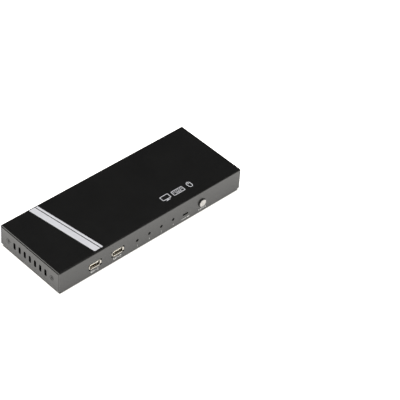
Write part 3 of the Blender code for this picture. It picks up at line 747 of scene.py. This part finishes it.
def make_cover():
    low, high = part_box("upper_shell")
    section = [
        (low.x, low.y, low.z),
        (low.x, low.y, high.z),
        (low.x, high.y, high.z),
        (low.x, high.y, low.z),
    ]
    cover = bent(swept_sheet(section, (high.x - low.x, 0, 0)))
    ears = bmesh.new()
    holes = bmesh.new()
    inner_y = high.y - SHEET
    root = SHEET / 3
    for _, side, at in screw_spots():
        x = 1 if side == "right" else -1
        y = 1 if at.y > 0 else -1
        ear_x = x * (high.x - SHEET - GAP - SHEET / 2)
        ear_y = y * (inner_y - (EAR[0] - root) / 2)
        add_block(ears, (ear_x, ear_y, at.z), (SHEET, EAR[0] + root, EAR[1]), EAR_CORNER_RADIUS, (1, 0, 0))
        add_rod(holes, (ear_x, at.y, at.z), CASE_SCREW_SHANK_RADIUS + GAP, 3 * SHEET, (0, pi / 2), 24)
        notch_at = (x * high.x, y * high.y, low.z)
        add_block(holes, notch_at, (2 * CORNER_NOTCH[0], 4 * SHEET, 2 * CORNER_NOTCH[1]))
    for number in USB_A_NUMBERS:
        add_socket_hole(holes, f"usb_a_shell_{number}", USB_A_LIPS)
    for number in COMPUTERS:
        lens = led_at(number)
        add_rod(holes, (lens.x, low.y, lens.z), LED_HOLE_RADIUS, 4 * SHEET, (pi / 2, 0), 40)
        add_socket_hole(holes, f"hdmi_in_shell_{number}", HDMI_SHELL)
        add_socket_hole(holes, f"usb_b_shell_{number}", USB_B_SHELL)
    add_socket_hole(holes, "hdmi_out_shell", HDMI_SHELL)
    add_socket_hole(holes, "dc_jack_body", DC_JACK_FACE)
    remote = centre_of("remote_port_shell")
    add_hole(holes, REMOTE_CUT_OUT, remote.x, low.y, remote.z)
    button = centre_of("select_button")
    add_rod(holes, (button.x, low.y, button.z), BUTTON_HOLE_RADIUS, 4 * SHEET, (pi / 2, 0), 64)
    cover = joined(cover, to_mesh(ears))
    cover = cut(cover, to_mesh(holes))
    show("case_cover", softened(cover, worn=1), [COAT, RUBBED_COAT], ["upper_shell"])


def make_tray():
    low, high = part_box("base_tray")
    section = [
        (low.x, low.y, high.z),
        (low.x, low.y, low.z),
        (high.x, low.y, low.z),
        (high.x, low.y, high.z),
    ]
    tray = bent(swept_sheet(section, (0, high.y - low.y, 0)))
    holes = bmesh.new()
    slot_z = low.z + SLOT_HEIGHT_ABOVE_BOTTOM
    for number in range(SLOT_COUNT):
        y = (number - (SLOT_COUNT - 1) / 2) * SLOT_PITCH
        for x in (low.x, high.x):
            add_block(holes, (x, y, slot_z), (4 * SHEET, *SLOT_SIZE), 0.49 * SLOT_SIZE[0], (1, 0, 0), 8)
    tray = cut(tray, to_mesh(holes))
    head = CASE_SCREW_HEAD_RADIUS + GAP
    shank = CASE_SCREW_SHANK_RADIUS + GAP
    countersink = [
        (0.0, SHEET),
        (head, SHEET),
        (head, 0.0),
        (shank, -CASE_SCREW_HEAD_DEPTH),
        (shank, -CASE_SCREW_HOLE_DEPTH),
        (0.0, -CASE_SCREW_HOLE_DEPTH),
    ]
    for _, side, at in screw_spots():
        tray = cut(tray, turned_mesh(countersink, side_matrix(side, at)))
    show("base_tray_panels", softened(tray, worn=1), [TRAY_COAT, RUBBED_COAT], ["base_tray"])


def cross_recess(matrix):
    """A crosshead driver's tapered hollow."""
    shape = bmesh.new()
    half = RECESS_WIDTH / 2
    levels = []
    for height, share in ((RECESS_DEPTH * 0.4, 1.12), (-RECESS_DEPTH, 0.45)):
        reach = RECESS_SPAN / 2 * share
        ring = []
        for quarter in range(4):
            angle = quarter * pi / 2 + RECESS_TURN
            for x, y in ((half, half), (half, reach), (-half, reach)):
                place = (x * cos(angle) - y * sin(angle), x * sin(angle) + y * cos(angle), height)
                ring.append(shape.verts.new(place))
        levels.append(ring)
    bridge(shape, *levels)
    for ring in levels:
        shape.faces.new(ring)
    return placed(shape, matrix)


def make_case_screws():
    radius = CASE_SCREW_HEAD_RADIUS
    shank = CASE_SCREW_SHANK_RADIUS
    profile = [
        (0.0, 0.0),
        (0.62 * radius, -0.00002),
        (0.88 * radius, -0.00007),
        (0.96 * radius, -0.00013),
        (radius, -0.00024),
        (shank, -CASE_SCREW_HEAD_DEPTH),
    ]
    for turn in range(THREAD_TURNS):
        crest = -CASE_SCREW_HEAD_DEPTH - turn * THREAD_PITCH - 0.00018
        profile += [(shank, crest), (shank - THREAD_DEPTH, crest - 0.00016)]
    profile += [(shank - THREAD_DEPTH - 0.00004, 0.0001 - CASE_SCREW_LENGTH), (0.0, -CASE_SCREW_LENGTH)]
    for name, side, at in screw_spots():
        matrix = side_matrix(side, at)
        screw = cut(turned_mesh(profile, matrix, 40), cross_recess(matrix))
        show(f"{name}_driven", smoothed(screw, 32), [SCREW_BLACK], [name])


def make_feet():
    for x, y in CORNERS:
        name = corner_name("rubber_foot", x, y)
        low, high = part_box(name)
        at = Vector(((low.x + high.x) / 2, (low.y + high.y) / 2, 0.0))
        radius = (high.x - low.x) / 2
        profile = [
            (0.0, high.z),
            (radius - 0.0001, high.z),
            (radius, high.z - 0.0001),
            (radius - 0.0002, 0.0006),
            (radius - 0.00028, 0.00032),
            (radius - 0.00048, 0.00010),
            (radius - 0.00080, 0.0),
            (radius - 0.0022, 0.0),
            (radius - 0.0026, 0.00012),
            (0.0, 0.00016),
        ]
        foot = turned_mesh(profile, Matrix.Translation(at), 56)
        show(f"{name}_pad", smoothed(foot, 50), [RUBBER], [name])


# Front sockets, indicators and button


def lip_mesh(length, reach, matrix):
    """One flared lip, curling out of the throat: u along the lip, v outwards, n out of the panel."""
    steps = 7
    inner = []
    for step in range(steps + 1):
        angle = step * pi / 2 / steps
        inner.append((reach * (1 - cos(angle)), USB_A_THROAT_DEPTH * (sin(angle) - 1)))
    outer = []
    for index, (v, n) in enumerate(inner):
        ahead = Vector(inner[min(index + 1, steps)]) - Vector(inner[max(index - 1, 0)])
        normal = Vector((ahead.y, -ahead.x)).normalized()
        outer.append((v + normal.x * LIP_THICKNESS, n + normal.y * LIP_THICKNESS))
    shape = bmesh.new()
    ends = []
    for end in (-1, 1):
        ring = []
        for v, n in inner + outer[::-1]:
            u = end * (length / 2 - LIP_TAPER * (max(v, 0.0) / reach) ** 2)
            ring.append(shape.verts.new((u, v, n)))
        ends.append(ring)
    bridge(shape, *ends)
    for ring in ends:
        for step in range(steps):
            shape.faces.new((ring[step], ring[step + 1], ring[-step - 2], ring[-step - 1]))
    return placed(shape, matrix)


def spring_mesh(width, length, thickness, dip, matrix):
    """A sprung finger: rooted at u 0, dipping along -v half way and lifting at its free end."""
    steps = 10
    shape = bmesh.new()
    rows = []
    for step in range(steps + 1):
        share = step / steps
        v = -dip * sin(pi * min(share / 1.25, 1.0)) ** 1.4
        place = length * share
        around = ((0.0, -1), (0.0, 1), (thickness, 1), (thickness, -1))
        rows.append([shape.verts.new((place, v + up, side * width / 2)) for up, side in around])
    for near, far in zip(rows, rows[1:]):
        bridge(shape, near, far)
    for row in (rows[0], rows[-1]):
        shape.faces.new(row)
    return placed(shape, matrix)


def pointing_out(matrix, u, v, n, up=1):
    """Axes that lay a sprung finger along n from (u, v, n), dipping down if up is 1."""
    return matrix @ Matrix.Translation((u, v, n)) @ Matrix(((0, 0, 1), (0, up, 0), (1, 0, 0))).to_4x4()


def finger(matrix, u, v, up, width, length, depth):
    """A spring finger in a socket's upper (+1) or lower (-1) wall, pointing at the mouth."""
    made = spring_mesh(width, length, 0.00028, 0.00062, pointing_out(matrix, u, v, -depth, up))
    return softened(made, 0.00005, 1)


def can(outer, inner, depth, back, matrix, front=0.0):
    """A tube along n with a closed back."""
    tube = plate([outer, inner], -depth + back - OVERLAP, front, matrix)
    return joined(tube, plate([outer], -depth, -depth + back, matrix))


def with_windows(shell, matrix, places, size, radius):
    """The shell with windows cut at (u, v, n) places."""
    windows = bmesh.new()
    for place in places:
        add_block(windows, matrix @ Vector(place), size, radius)
    return cut(shell, to_mesh(windows))


def contact_strips(places, size, back, front, matrix):
    """Flat contacts along n at (u, v) places."""
    return merged([plate([rectangle(*size, place)], back, front, matrix) for place in places])


def make_usb_a(number):
    shell_name = f"usb_a_shell_{number}"
    tongue_name = f"usb_a_tongue_{number}"
    at, depth = face_of(shell_name, "front")
    matrix = side_matrix("front", at)
    outer = round_rectangle(*USB_A_TUBE, 0.0007)
    inner = round_rectangle(*USB_A_MOUTH, 0.0004)
    shell = can(outer, inner, depth, 0.0006, matrix, -USB_A_THROAT_DEPTH)
    sides = [(u, v) for u in (-USB_A_FINGER_U, USB_A_FINGER_U) for v in (-1, 1)]
    places = [(u, v * USB_A_TUBE[1] / 2, -USB_A_WINDOW_DEPTH) for u, v in sides]
    shell = with_windows(shell, matrix, places, USB_A_WINDOW, 0.0003)
    for quarter in (0, 2, 1, 3):
        along = quarter % 2
        across = 1 - along
        rim = Matrix.Translation((0.0, USB_A_MOUTH[across] / 2, 0.0))
        rim = matrix @ Matrix.Rotation(quarter * pi / 2, 4, "Z") @ rim
        lip = lip_mesh(USB_A_MOUTH[along] - 2 * LIP_END_GAP, USB_A_LIP_REACH[across], rim)
        shell = joined(shell, lip)
    shell = softened(shell, 0.00006, 1)
    root_v = USB_A_MOUTH[1] / 2 + WALL_INTO_FINGER
    fingers = [finger(matrix, u, v * root_v, v, *USB_A_FINGER) for u, v in sides]
    show(f"usb_a_socket_{number}", merged([shell, *fingers]), [STEEL], [shell_name])
    size, middle, back, front = span_of(tongue_name, at, "front")
    blade = plate([round_rectangle(*size, 0.00025, (0.0, middle))], back - 0.0002, front, matrix, 0.00018)
    block = plate([round_rectangle(*USB_A_BLOCK, 0.0003)], -depth + 0.0007, back - 0.00012, matrix)
    blade = smoothed(joined(blade, block))
    show(f"usb_a_blade_{number}", blade, [IVORY_PLASTIC], [tongue_name])
    under = middle - size[1] / 2 + 0.00006
    roots = [pointing_out(matrix, u, under, back + 0.001) for u in USB_A_CONTACTS_U]
    contacts = merged([spring_mesh(0.0010, 0.0088, 0.00014, 0.00040, root) for root in roots])
    show(f"usb_a_contacts_{number}", softened(contacts, 0.00003, 1), [GOLD])


def make_remote_port():
    at, depth = face_of("remote_port_shell", "front")
    matrix = side_matrix("front", at)
    outer = filleted(chamfered(*REMOTE_SHELL, REMOTE_CHAMFER, -1), 0.00030)
    inner = filleted(chamfered(*REMOTE_MOUTH, REMOTE_CHAMFER, -1), 0.00016)
    shell = can(outer, inner, depth, 0.0010, matrix)
    places = [(u, REMOTE_SHELL[1] / 2, -REMOTE_CATCH_DEPTH) for u in (-REMOTE_CATCH_U, REMOTE_CATCH_U)]
    shell = softened(with_windows(shell, matrix, places, REMOTE_CATCH, 0.0001), 0.00005, 1)
    show("remote_socket", shell, [STEEL], ["remote_port_shell"])
    size, middle, back, front = span_of("remote_port_tongue", at, "front")
    blade = plate([round_rectangle(*size, 0.00012, (0.0, middle))], back, front, matrix, 0.00008)
    show("remote_blade", smoothed(blade), [BLACK_PLASTIC], ["remote_port_tongue"])
    places = [(step * 0.00065, middle - size[1] / 2 + CONTACT_LIFT) for step in (-2, -1, 0, 1, 2)]
    strips = contact_strips(places, (0.00034, 0.00008), back + 0.0002, front - 0.00025, matrix)
    show("remote_contacts", strips, [GOLD])


def make_leds():
    for number in COMPUTERS:
        name = f"status_led_{number}"
        at = led_at(number)
        matrix = side_matrix("front", at)
        flange = LED_LENS_RADIUS + LED_FLANGE[0]
        flange_n = LED_FLANGE[1] - LED_LENGTH
        profile = quarter_round(LED_LENS_RADIUS, 8) + [(LED_LENS_RADIUS, flange_n), (flange, flange_n)]
        profile += [(flange, -LED_LENGTH), (0.0, -LED_LENGTH)]
        lens = smoothed(turned_mesh(profile, matrix, 40))
        show(f"led_lens_{number}", lens, [LENS], [name])
        size, middle, back, _ = span_of(name, at, "front")
        outline = round_rectangle(LED_HOLDER_WIDTH, size[1], 0.0003, (0.0, middle))
        bore = circle(LED_LENS_RADIUS + 0.0001, 32)
        holder = plate([outline, bore], back, flange_n - OVERLAP, matrix, 0.00015)
        show(f"led_holder_{number}", smoothed(holder), [BLACK_PLASTIC])


def make_button():
    """A cap with a dished silver face and a black skirt, hollow behind for the plunger."""
    at, length = face_of("select_button", "front")
    matrix = side_matrix("front", at)
    radius = span_of("select_button", at, "front")[0][0] / 2
    profile = [
        (0.0, -0.00016),
        (0.35 * radius, -0.00013),
        (0.65 * radius, -0.00006),
        (radius - BUTTON_RIM - 0.0003, -0.00001),
    ]
    profile += quarter_round(BUTTON_RIM, 8, radius - BUTTON_RIM)
    profile += [(radius, 0.0009 - length), (radius, 0.0001 - length)]
    profile += [(radius - 0.0001, -length), (0.0, -length)]
    cap = turned_mesh(profile, matrix, 72)
    opening = span_of("switch_plunger", at, "front")[0][0] + 2 * GAP
    socket = bmesh.new()
    add_block(socket, (at.x, at.y + length, at.z), (opening, 2 * BUTTON_SOCKET_DEPTH, opening))
    cap = smoothed(cut(cap, to_mesh(socket)), 30)
    looks = [BUTTON_SILVER, BUTTON_SKIRT]
    piece = show("select_button_cap", cap, looks, ["select_button"], "button")
    outwards = matrix.to_3x3() @ Vector((0, 0, 1))
    for face in piece.data.polygons:
        face.material_index = int(face.normal.dot(outwards) < BUTTON_SKIRT_TILT)


# Rear sockets


def make_hdmi(shell_name, tongue_name):
    at, depth = face_of(shell_name, "rear")
    matrix = side_matrix("rear", at)
    mouth = (HDMI_SHELL[0] - 2 * HDMI_WALL, HDMI_SHELL[1] - 2 * HDMI_WALL)
    outer = filleted(chamfered(*HDMI_SHELL, HDMI_CHAMFER, -1), 0.0005)
    inner = filleted(chamfered(*mouth, HDMI_CHAMFER - HDMI_WALL / 2, -1), 0.00025)
    shell = can(outer, inner, depth, 0.0010, matrix)
    sides = (-HDMI_FINGER_U, HDMI_FINGER_U)
    places = [(u, HDMI_SHELL[1] / 2, -HDMI_WINDOW_DEPTH) for u in sides]
    shell = softened(with_windows(shell, matrix, places, HDMI_WINDOW, 0.0003), 0.00007, 1)
    fingers = [finger(matrix, u, mouth[1] / 2 + WALL_INTO_FINGER, 1, *HDMI_FINGER) for u in sides]
    show(f"{shell_name}_steel", merged([shell, *fingers]), [STEEL], [shell_name])
    size, middle, back, front = span_of(tongue_name, at, "rear")
    blade = plate([round_rectangle(*size, 0.00018, (0.0, middle))], back, front, matrix, 0.00012)
    show(f"{tongue_name}_blade", smoothed(blade), [BLACK_PLASTIC], [tongue_name])
    level = size[1] / 2 - CONTACT_LIFT
    rows = ((10, middle + level), (9, middle - level))
    places = [((step - (count - 1) / 2) * 0.0010, v) for count, v in rows for step in range(count)]
    strips = contact_strips(places, (0.00046, 0.00010), back + 0.0004, front - 0.0005, matrix)
    show(f"{tongue_name}_contacts", strips, [GOLD])


def make_usb_b(number):
    shell_name = f"usb_b_shell_{number}"
    tongue_name = f"usb_b_tongue_{number}"
    at, depth = face_of(shell_name, "rear")
    matrix = side_matrix("rear", at)
    outer = round_rectangle(*USB_B_SHELL, 0.0005)
    inside = (USB_B_SHELL[0] - 2 * USB_B_WRAP, USB_B_SHELL[1] - 2 * USB_B_WRAP)
    wrap = plate([outer, round_rectangle(*inside, 0.00030)], -depth, 0.0, matrix, 0.00006, 1)
    show(f"{shell_name}_steel", smoothed(wrap), [STEEL], [shell_name])
    mouth = filleted(chamfered(*USB_B_MOUTH, USB_B_CHAMFER, 1), 0.0003)
    body = round_rectangle(inside[0] - 0.00004, inside[1] - 0.00004, 0.00028)
    collar = plate([body, mouth], -USB_B_MOUTH_DEPTH - OVERLAP, -0.00035, matrix, 0.00012)
    rear_block = plate([body], -depth + 0.0002, -USB_B_MOUTH_DEPTH, matrix)
    insulator = smoothed(joined(collar, rear_block))
    show(f"{shell_name}_insulator", insulator, [BLACK_PLASTIC])
    size, _, back, front = span_of(tongue_name, at, "rear")
    post = plate([round_rectangle(*size, 0.0003)], back - 0.0004, front, matrix, 0.0002)
    show(f"{tongue_name}_post", smoothed(post), [BLACK_PLASTIC], [tongue_name])
    level = size[1] / 2 + CONTACT_LIFT
    places = [(u, v) for u in (-0.00125, 0.00125) for v in (-level, level)]
    strips = contact_strips(places, (0.0010, 0.00012), back, front - 0.0010, matrix)
    show(f"{tongue_name}_contacts", strips, [GOLD])


def make_dc_jack():
    at, depth = face_of("dc_jack_body", "rear")
    matrix = side_matrix("rear", at)
    outline = round_rectangle(*span_of("dc_jack_body", at, "rear")[0], 0.0006)
    bore = circle(DC_JACK_BORE_RADIUS, 56)
    collar = plate([outline, bore], -DC_JACK_BORE_DEPTH - OVERLAP, 0.0, matrix, 0.0002)
    block = plate([outline], -depth, -DC_JACK_BORE_DEPTH, matrix)
    housing = smoothed(joined(collar, block))
    show("dc_jack_housing", housing, [BLACK_PLASTIC], ["dc_jack_body"])
    ring = [circle(DC_JACK_BORE_RADIUS - inset, 56) for inset in (0.00004, 0.00030)]
    liner = plate(ring, -0.0090, -0.0016, matrix, 0.00005, 1)
    show("dc_jack_liner", smoothed(liner), [ZINC])
    size, _, root, tip = span_of("dc_jack_pin", at, "rear")
    radius = size[0] / 2
    profile = quarter_round(radius, 7, top=tip) + [(radius, root), (0.0, root)]
    pin = smoothed(turned_mesh(profile, matrix, 32))
    show("dc_jack_centre_pin", pin, [ZINC], ["dc_jack_pin"])


# Printed marks: plain stripes, pictograms and numbers in place of any name


def printed(name, loops, side, at):
    mesh = plate(loops, -PRINT_THICKNESS / 3, PRINT_THICKNESS, side_matrix(side, at))
    # Marks on the upright faces take the darker copy of the ink, painted shade
    show(name, mesh, [INK if side == "top" else SIDE_INK_PAINTED_SHADE])


def stroke(points, width):
    """A closed outline round a two-point line."""
    (u0, v0), (u1, v1) = points
    length = hypot(u1 - u0, v1 - v0)
    side_u = -(v1 - v0) / length * width / 2
    side_v = (u1 - u0) / length * width / 2
    return [
        (u0 - side_u, v0 - side_v),
        (u1 - side_u, v1 - side_v),
        (u1 + side_u, v1 + side_v),
        (u0 + side_u, v0 + side_v),
    ]


def frame_loops(width, height, line, radius, at=(0.0, 0.0)):
    """A rounded frame: its outer and inner loop."""
    inner = (width - 2 * line, height - 2 * line)
    return [
        round_rectangle(width, height, radius, at),
        round_rectangle(*inner, max(radius - line, line / 4), at),
    ]


def monitor(scale, line, at=(0.0, 0.0)):
    u, v = at
    loops = frame_loops(1.30 * scale, 0.80 * scale, line, 0.10 * scale, (u, v + 0.10 * scale))
    loops.append(rectangle(1.8 * line, 0.115 * scale, (u, v - 0.3575 * scale)))
    loops.append(rectangle(0.62 * scale, line, (u, v - 0.415 * scale - line / 2)))
    return loops


def keyboard(scale, line, at=(0.0, 0.0)):
    u, v = at
    loops = frame_loops(1.80 * scale, 0.80 * scale, line, 0.10 * scale, at)
    for row in (0.16, 0.0):
        for step in range(6):
            key_at = (u + (step - 2.5) * 0.255 * scale, v + row * scale)
            loops.append(rectangle(0.13 * scale, 0.085 * scale, key_at))
    loops.append(rectangle(0.85 * scale, 0.085 * scale, (u, v - 0.16 * scale)))
    return loops


def mouse(scale, line, at=(0.0, 0.0)):
    u, v = at
    loops = frame_loops(0.66 * scale, 1.0 * scale, line, 0.30 * scale, at)
    loops.append(rectangle(line, 0.26 * scale, (u, v + 0.24 * scale)))
    return loops


def print_number(number, height, side, at):
    curve = bpy.data.curves.new("number", "FONT")
    curve.body = str(number)
    curve.size = height * 1.45
    curve.align_x = "CENTER"
    curve.extrude = PRINT_THICKNESS
    curve.resolution_u = 6
    shape = bmesh.new()
    shape.from_mesh(evaluated(bpy.data.objects.new("number", curve)))
    bmesh.ops.remove_doubles(shape, verts=shape.verts, dist=1e-7)
    # Numbers on the front and rear take the darker copy of the ink, painted shade
    show(f"{side}_number_{number}", placed(shape, side_matrix(side, at)), [SIDE_INK_PAINTED_SHADE])


def make_top_print():
    low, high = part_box("upper_shell")
    at = (0.0, 0.0, high.z)
    back_v = high.y - 0.0020
    front_v = low.y + 0.0029
    for name, (start, width) in STRIPES.items():
        loop = [
            (start + STRIPE_LEAN, front_v),
            (start + STRIPE_LEAN + width, front_v),
            (start + width, back_v),
            (start, back_v),
        ]
        printed(f"stripe_{name}", [loop], "top", at)
    row = low.y + 0.0165
    printed("top_monitor", monitor(0.0084, TOP_LINE, (0.0312, row)), "top", at)
    printed("top_keyboard", keyboard(0.0084, TOP_LINE, (0.0476, row)), "top", at)
    printed("top_mouse", mouse(0.0080, TOP_LINE, (0.0632, row)), "top", at)


def make_front_print():
    low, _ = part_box("upper_shell")
    row = low.z + 0.0037
    face = low.y
    for number in COMPUTERS:
        x = centre_of(f"status_led_{number}").x + 0.0004
        print_number(number, 0.0018, "front", (x, face, row - 0.0009))
    for number in USB_A_NUMBERS:
        x = centre_of(f"usb_a_shell_{number}").x
        at = (x, face, row)
        printed(f"front_keyboard_{number}", keyboard(0.0027, FRONT_LINE, (-0.0032, 0.0)), "front", at)
        printed(f"front_mouse_{number}", mouse(0.0025, FRONT_LINE, (0.0034, 0.0)), "front", at)
        printed(f"front_join_{number}", [rectangle(0.0026, 0.00028, (0.00085, 0.0))], "front", at)
    port_x = centre_of("remote_port_shell").x
    marks = [stroke([(-0.0058, -0.0001), (0.0030, -0.0001)], 0.0005)]
    marks.append([(0.0030, -0.0010), (0.0060, -0.0001), (0.0030, 0.0008)])
    printed("front_remote_mark", marks, "front", (port_x, face, row - 0.0004))
    button_x = centre_of("select_button").x
    ticks = [rectangle(0.0009, 0.0015, (step * 0.0022, 0.0)) for step in (-2, -1, 0, 1, 2)]
    printed("front_select_mark", ticks, "front", (button_x + 0.0007, face, row - 0.0006))


def make_rear_print():
    low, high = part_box("upper_shell")
    face = high.y
    row = low.z + 0.0212
    for number in COMPUTERS:
        x = (centre_of(f"usb_b_shell_{number}").x + centre_of(f"hdmi_in_shell_{number}").x) / 2
        print_number(number, 0.0024, "rear", (x, face, row - 0.0010))
    out_x = centre_of("hdmi_out_shell").x
    printed("rear_monitor", monitor(0.0034, 0.00032), "rear", (out_x, face, row + 0.0003))
    jack_x = centre_of("dc_jack_body").x
    marks = [rectangle(0.0040, 0.00036, (0.0, 0.0005))]
    marks += [rectangle(0.0009, 0.00036, (step * 0.00155, -0.0005)) for step in (-1, 0, 1)]
    printed("rear_dc_mark", marks, "rear", (jack_x, face, row + 0.0002))


# CAD parts that keep their shape, by the start of their names

KEPT = {
    "main_board": BOARD,
    "heat_sink": ALUMINIUM,
    "filter_capacitor": ALUMINIUM,
    "clock_crystal": ZINC,
    "board_screw": ZINC,
    "standoff": BRASS,
    "switch_plunger": BLACK_PLASTIC,
    "select_switch": BLACK_PLASTIC,
    "video_switch_chip": CHIP,
    "usb_hub_chip": CHIP,
    "voltage_regulator": CHIP,
    "power_inductor": CHIP,
}


def refinish_kept_parts():
    for start, material in KEPT.items():
        for part in [NODES[name] for name in NODES if name.startswith(start)]:
            refinish(part, material)


def refinish(part, material):
    for slot in part.material_slots:
        slot.material = material
    modifier = part.modifiers.new("soft_edges", "BEVEL")
    modifier.width = 0.00008
    modifier.segments = 1
    modifier.limit_method = "ANGLE"
    modifier.angle_limit = radians(50)


make_camera()
make_world()
make_light("overhead_softbox", (-0.25, -0.25, 2.3), 1.5, 46.0)
make_floor()
make_cover()
make_tray()
make_case_screws()
make_feet()
for socket_number in USB_A_NUMBERS:
    make_usb_a(socket_number)
make_remote_port()
make_leds()
make_button()
for socket_number in COMPUTERS:
    make_hdmi(f"hdmi_in_shell_{socket_number}", f"hdmi_in_tongue_{socket_number}")
    make_usb_b(socket_number)
make_hdmi("hdmi_out_shell", "hdmi_out_tongue")
make_dc_jack()
make_top_print()
make_front_print()
make_rear_print()
refinish_kept_parts()
bpy.context.scene.view_settings.view_transform = "Standard"
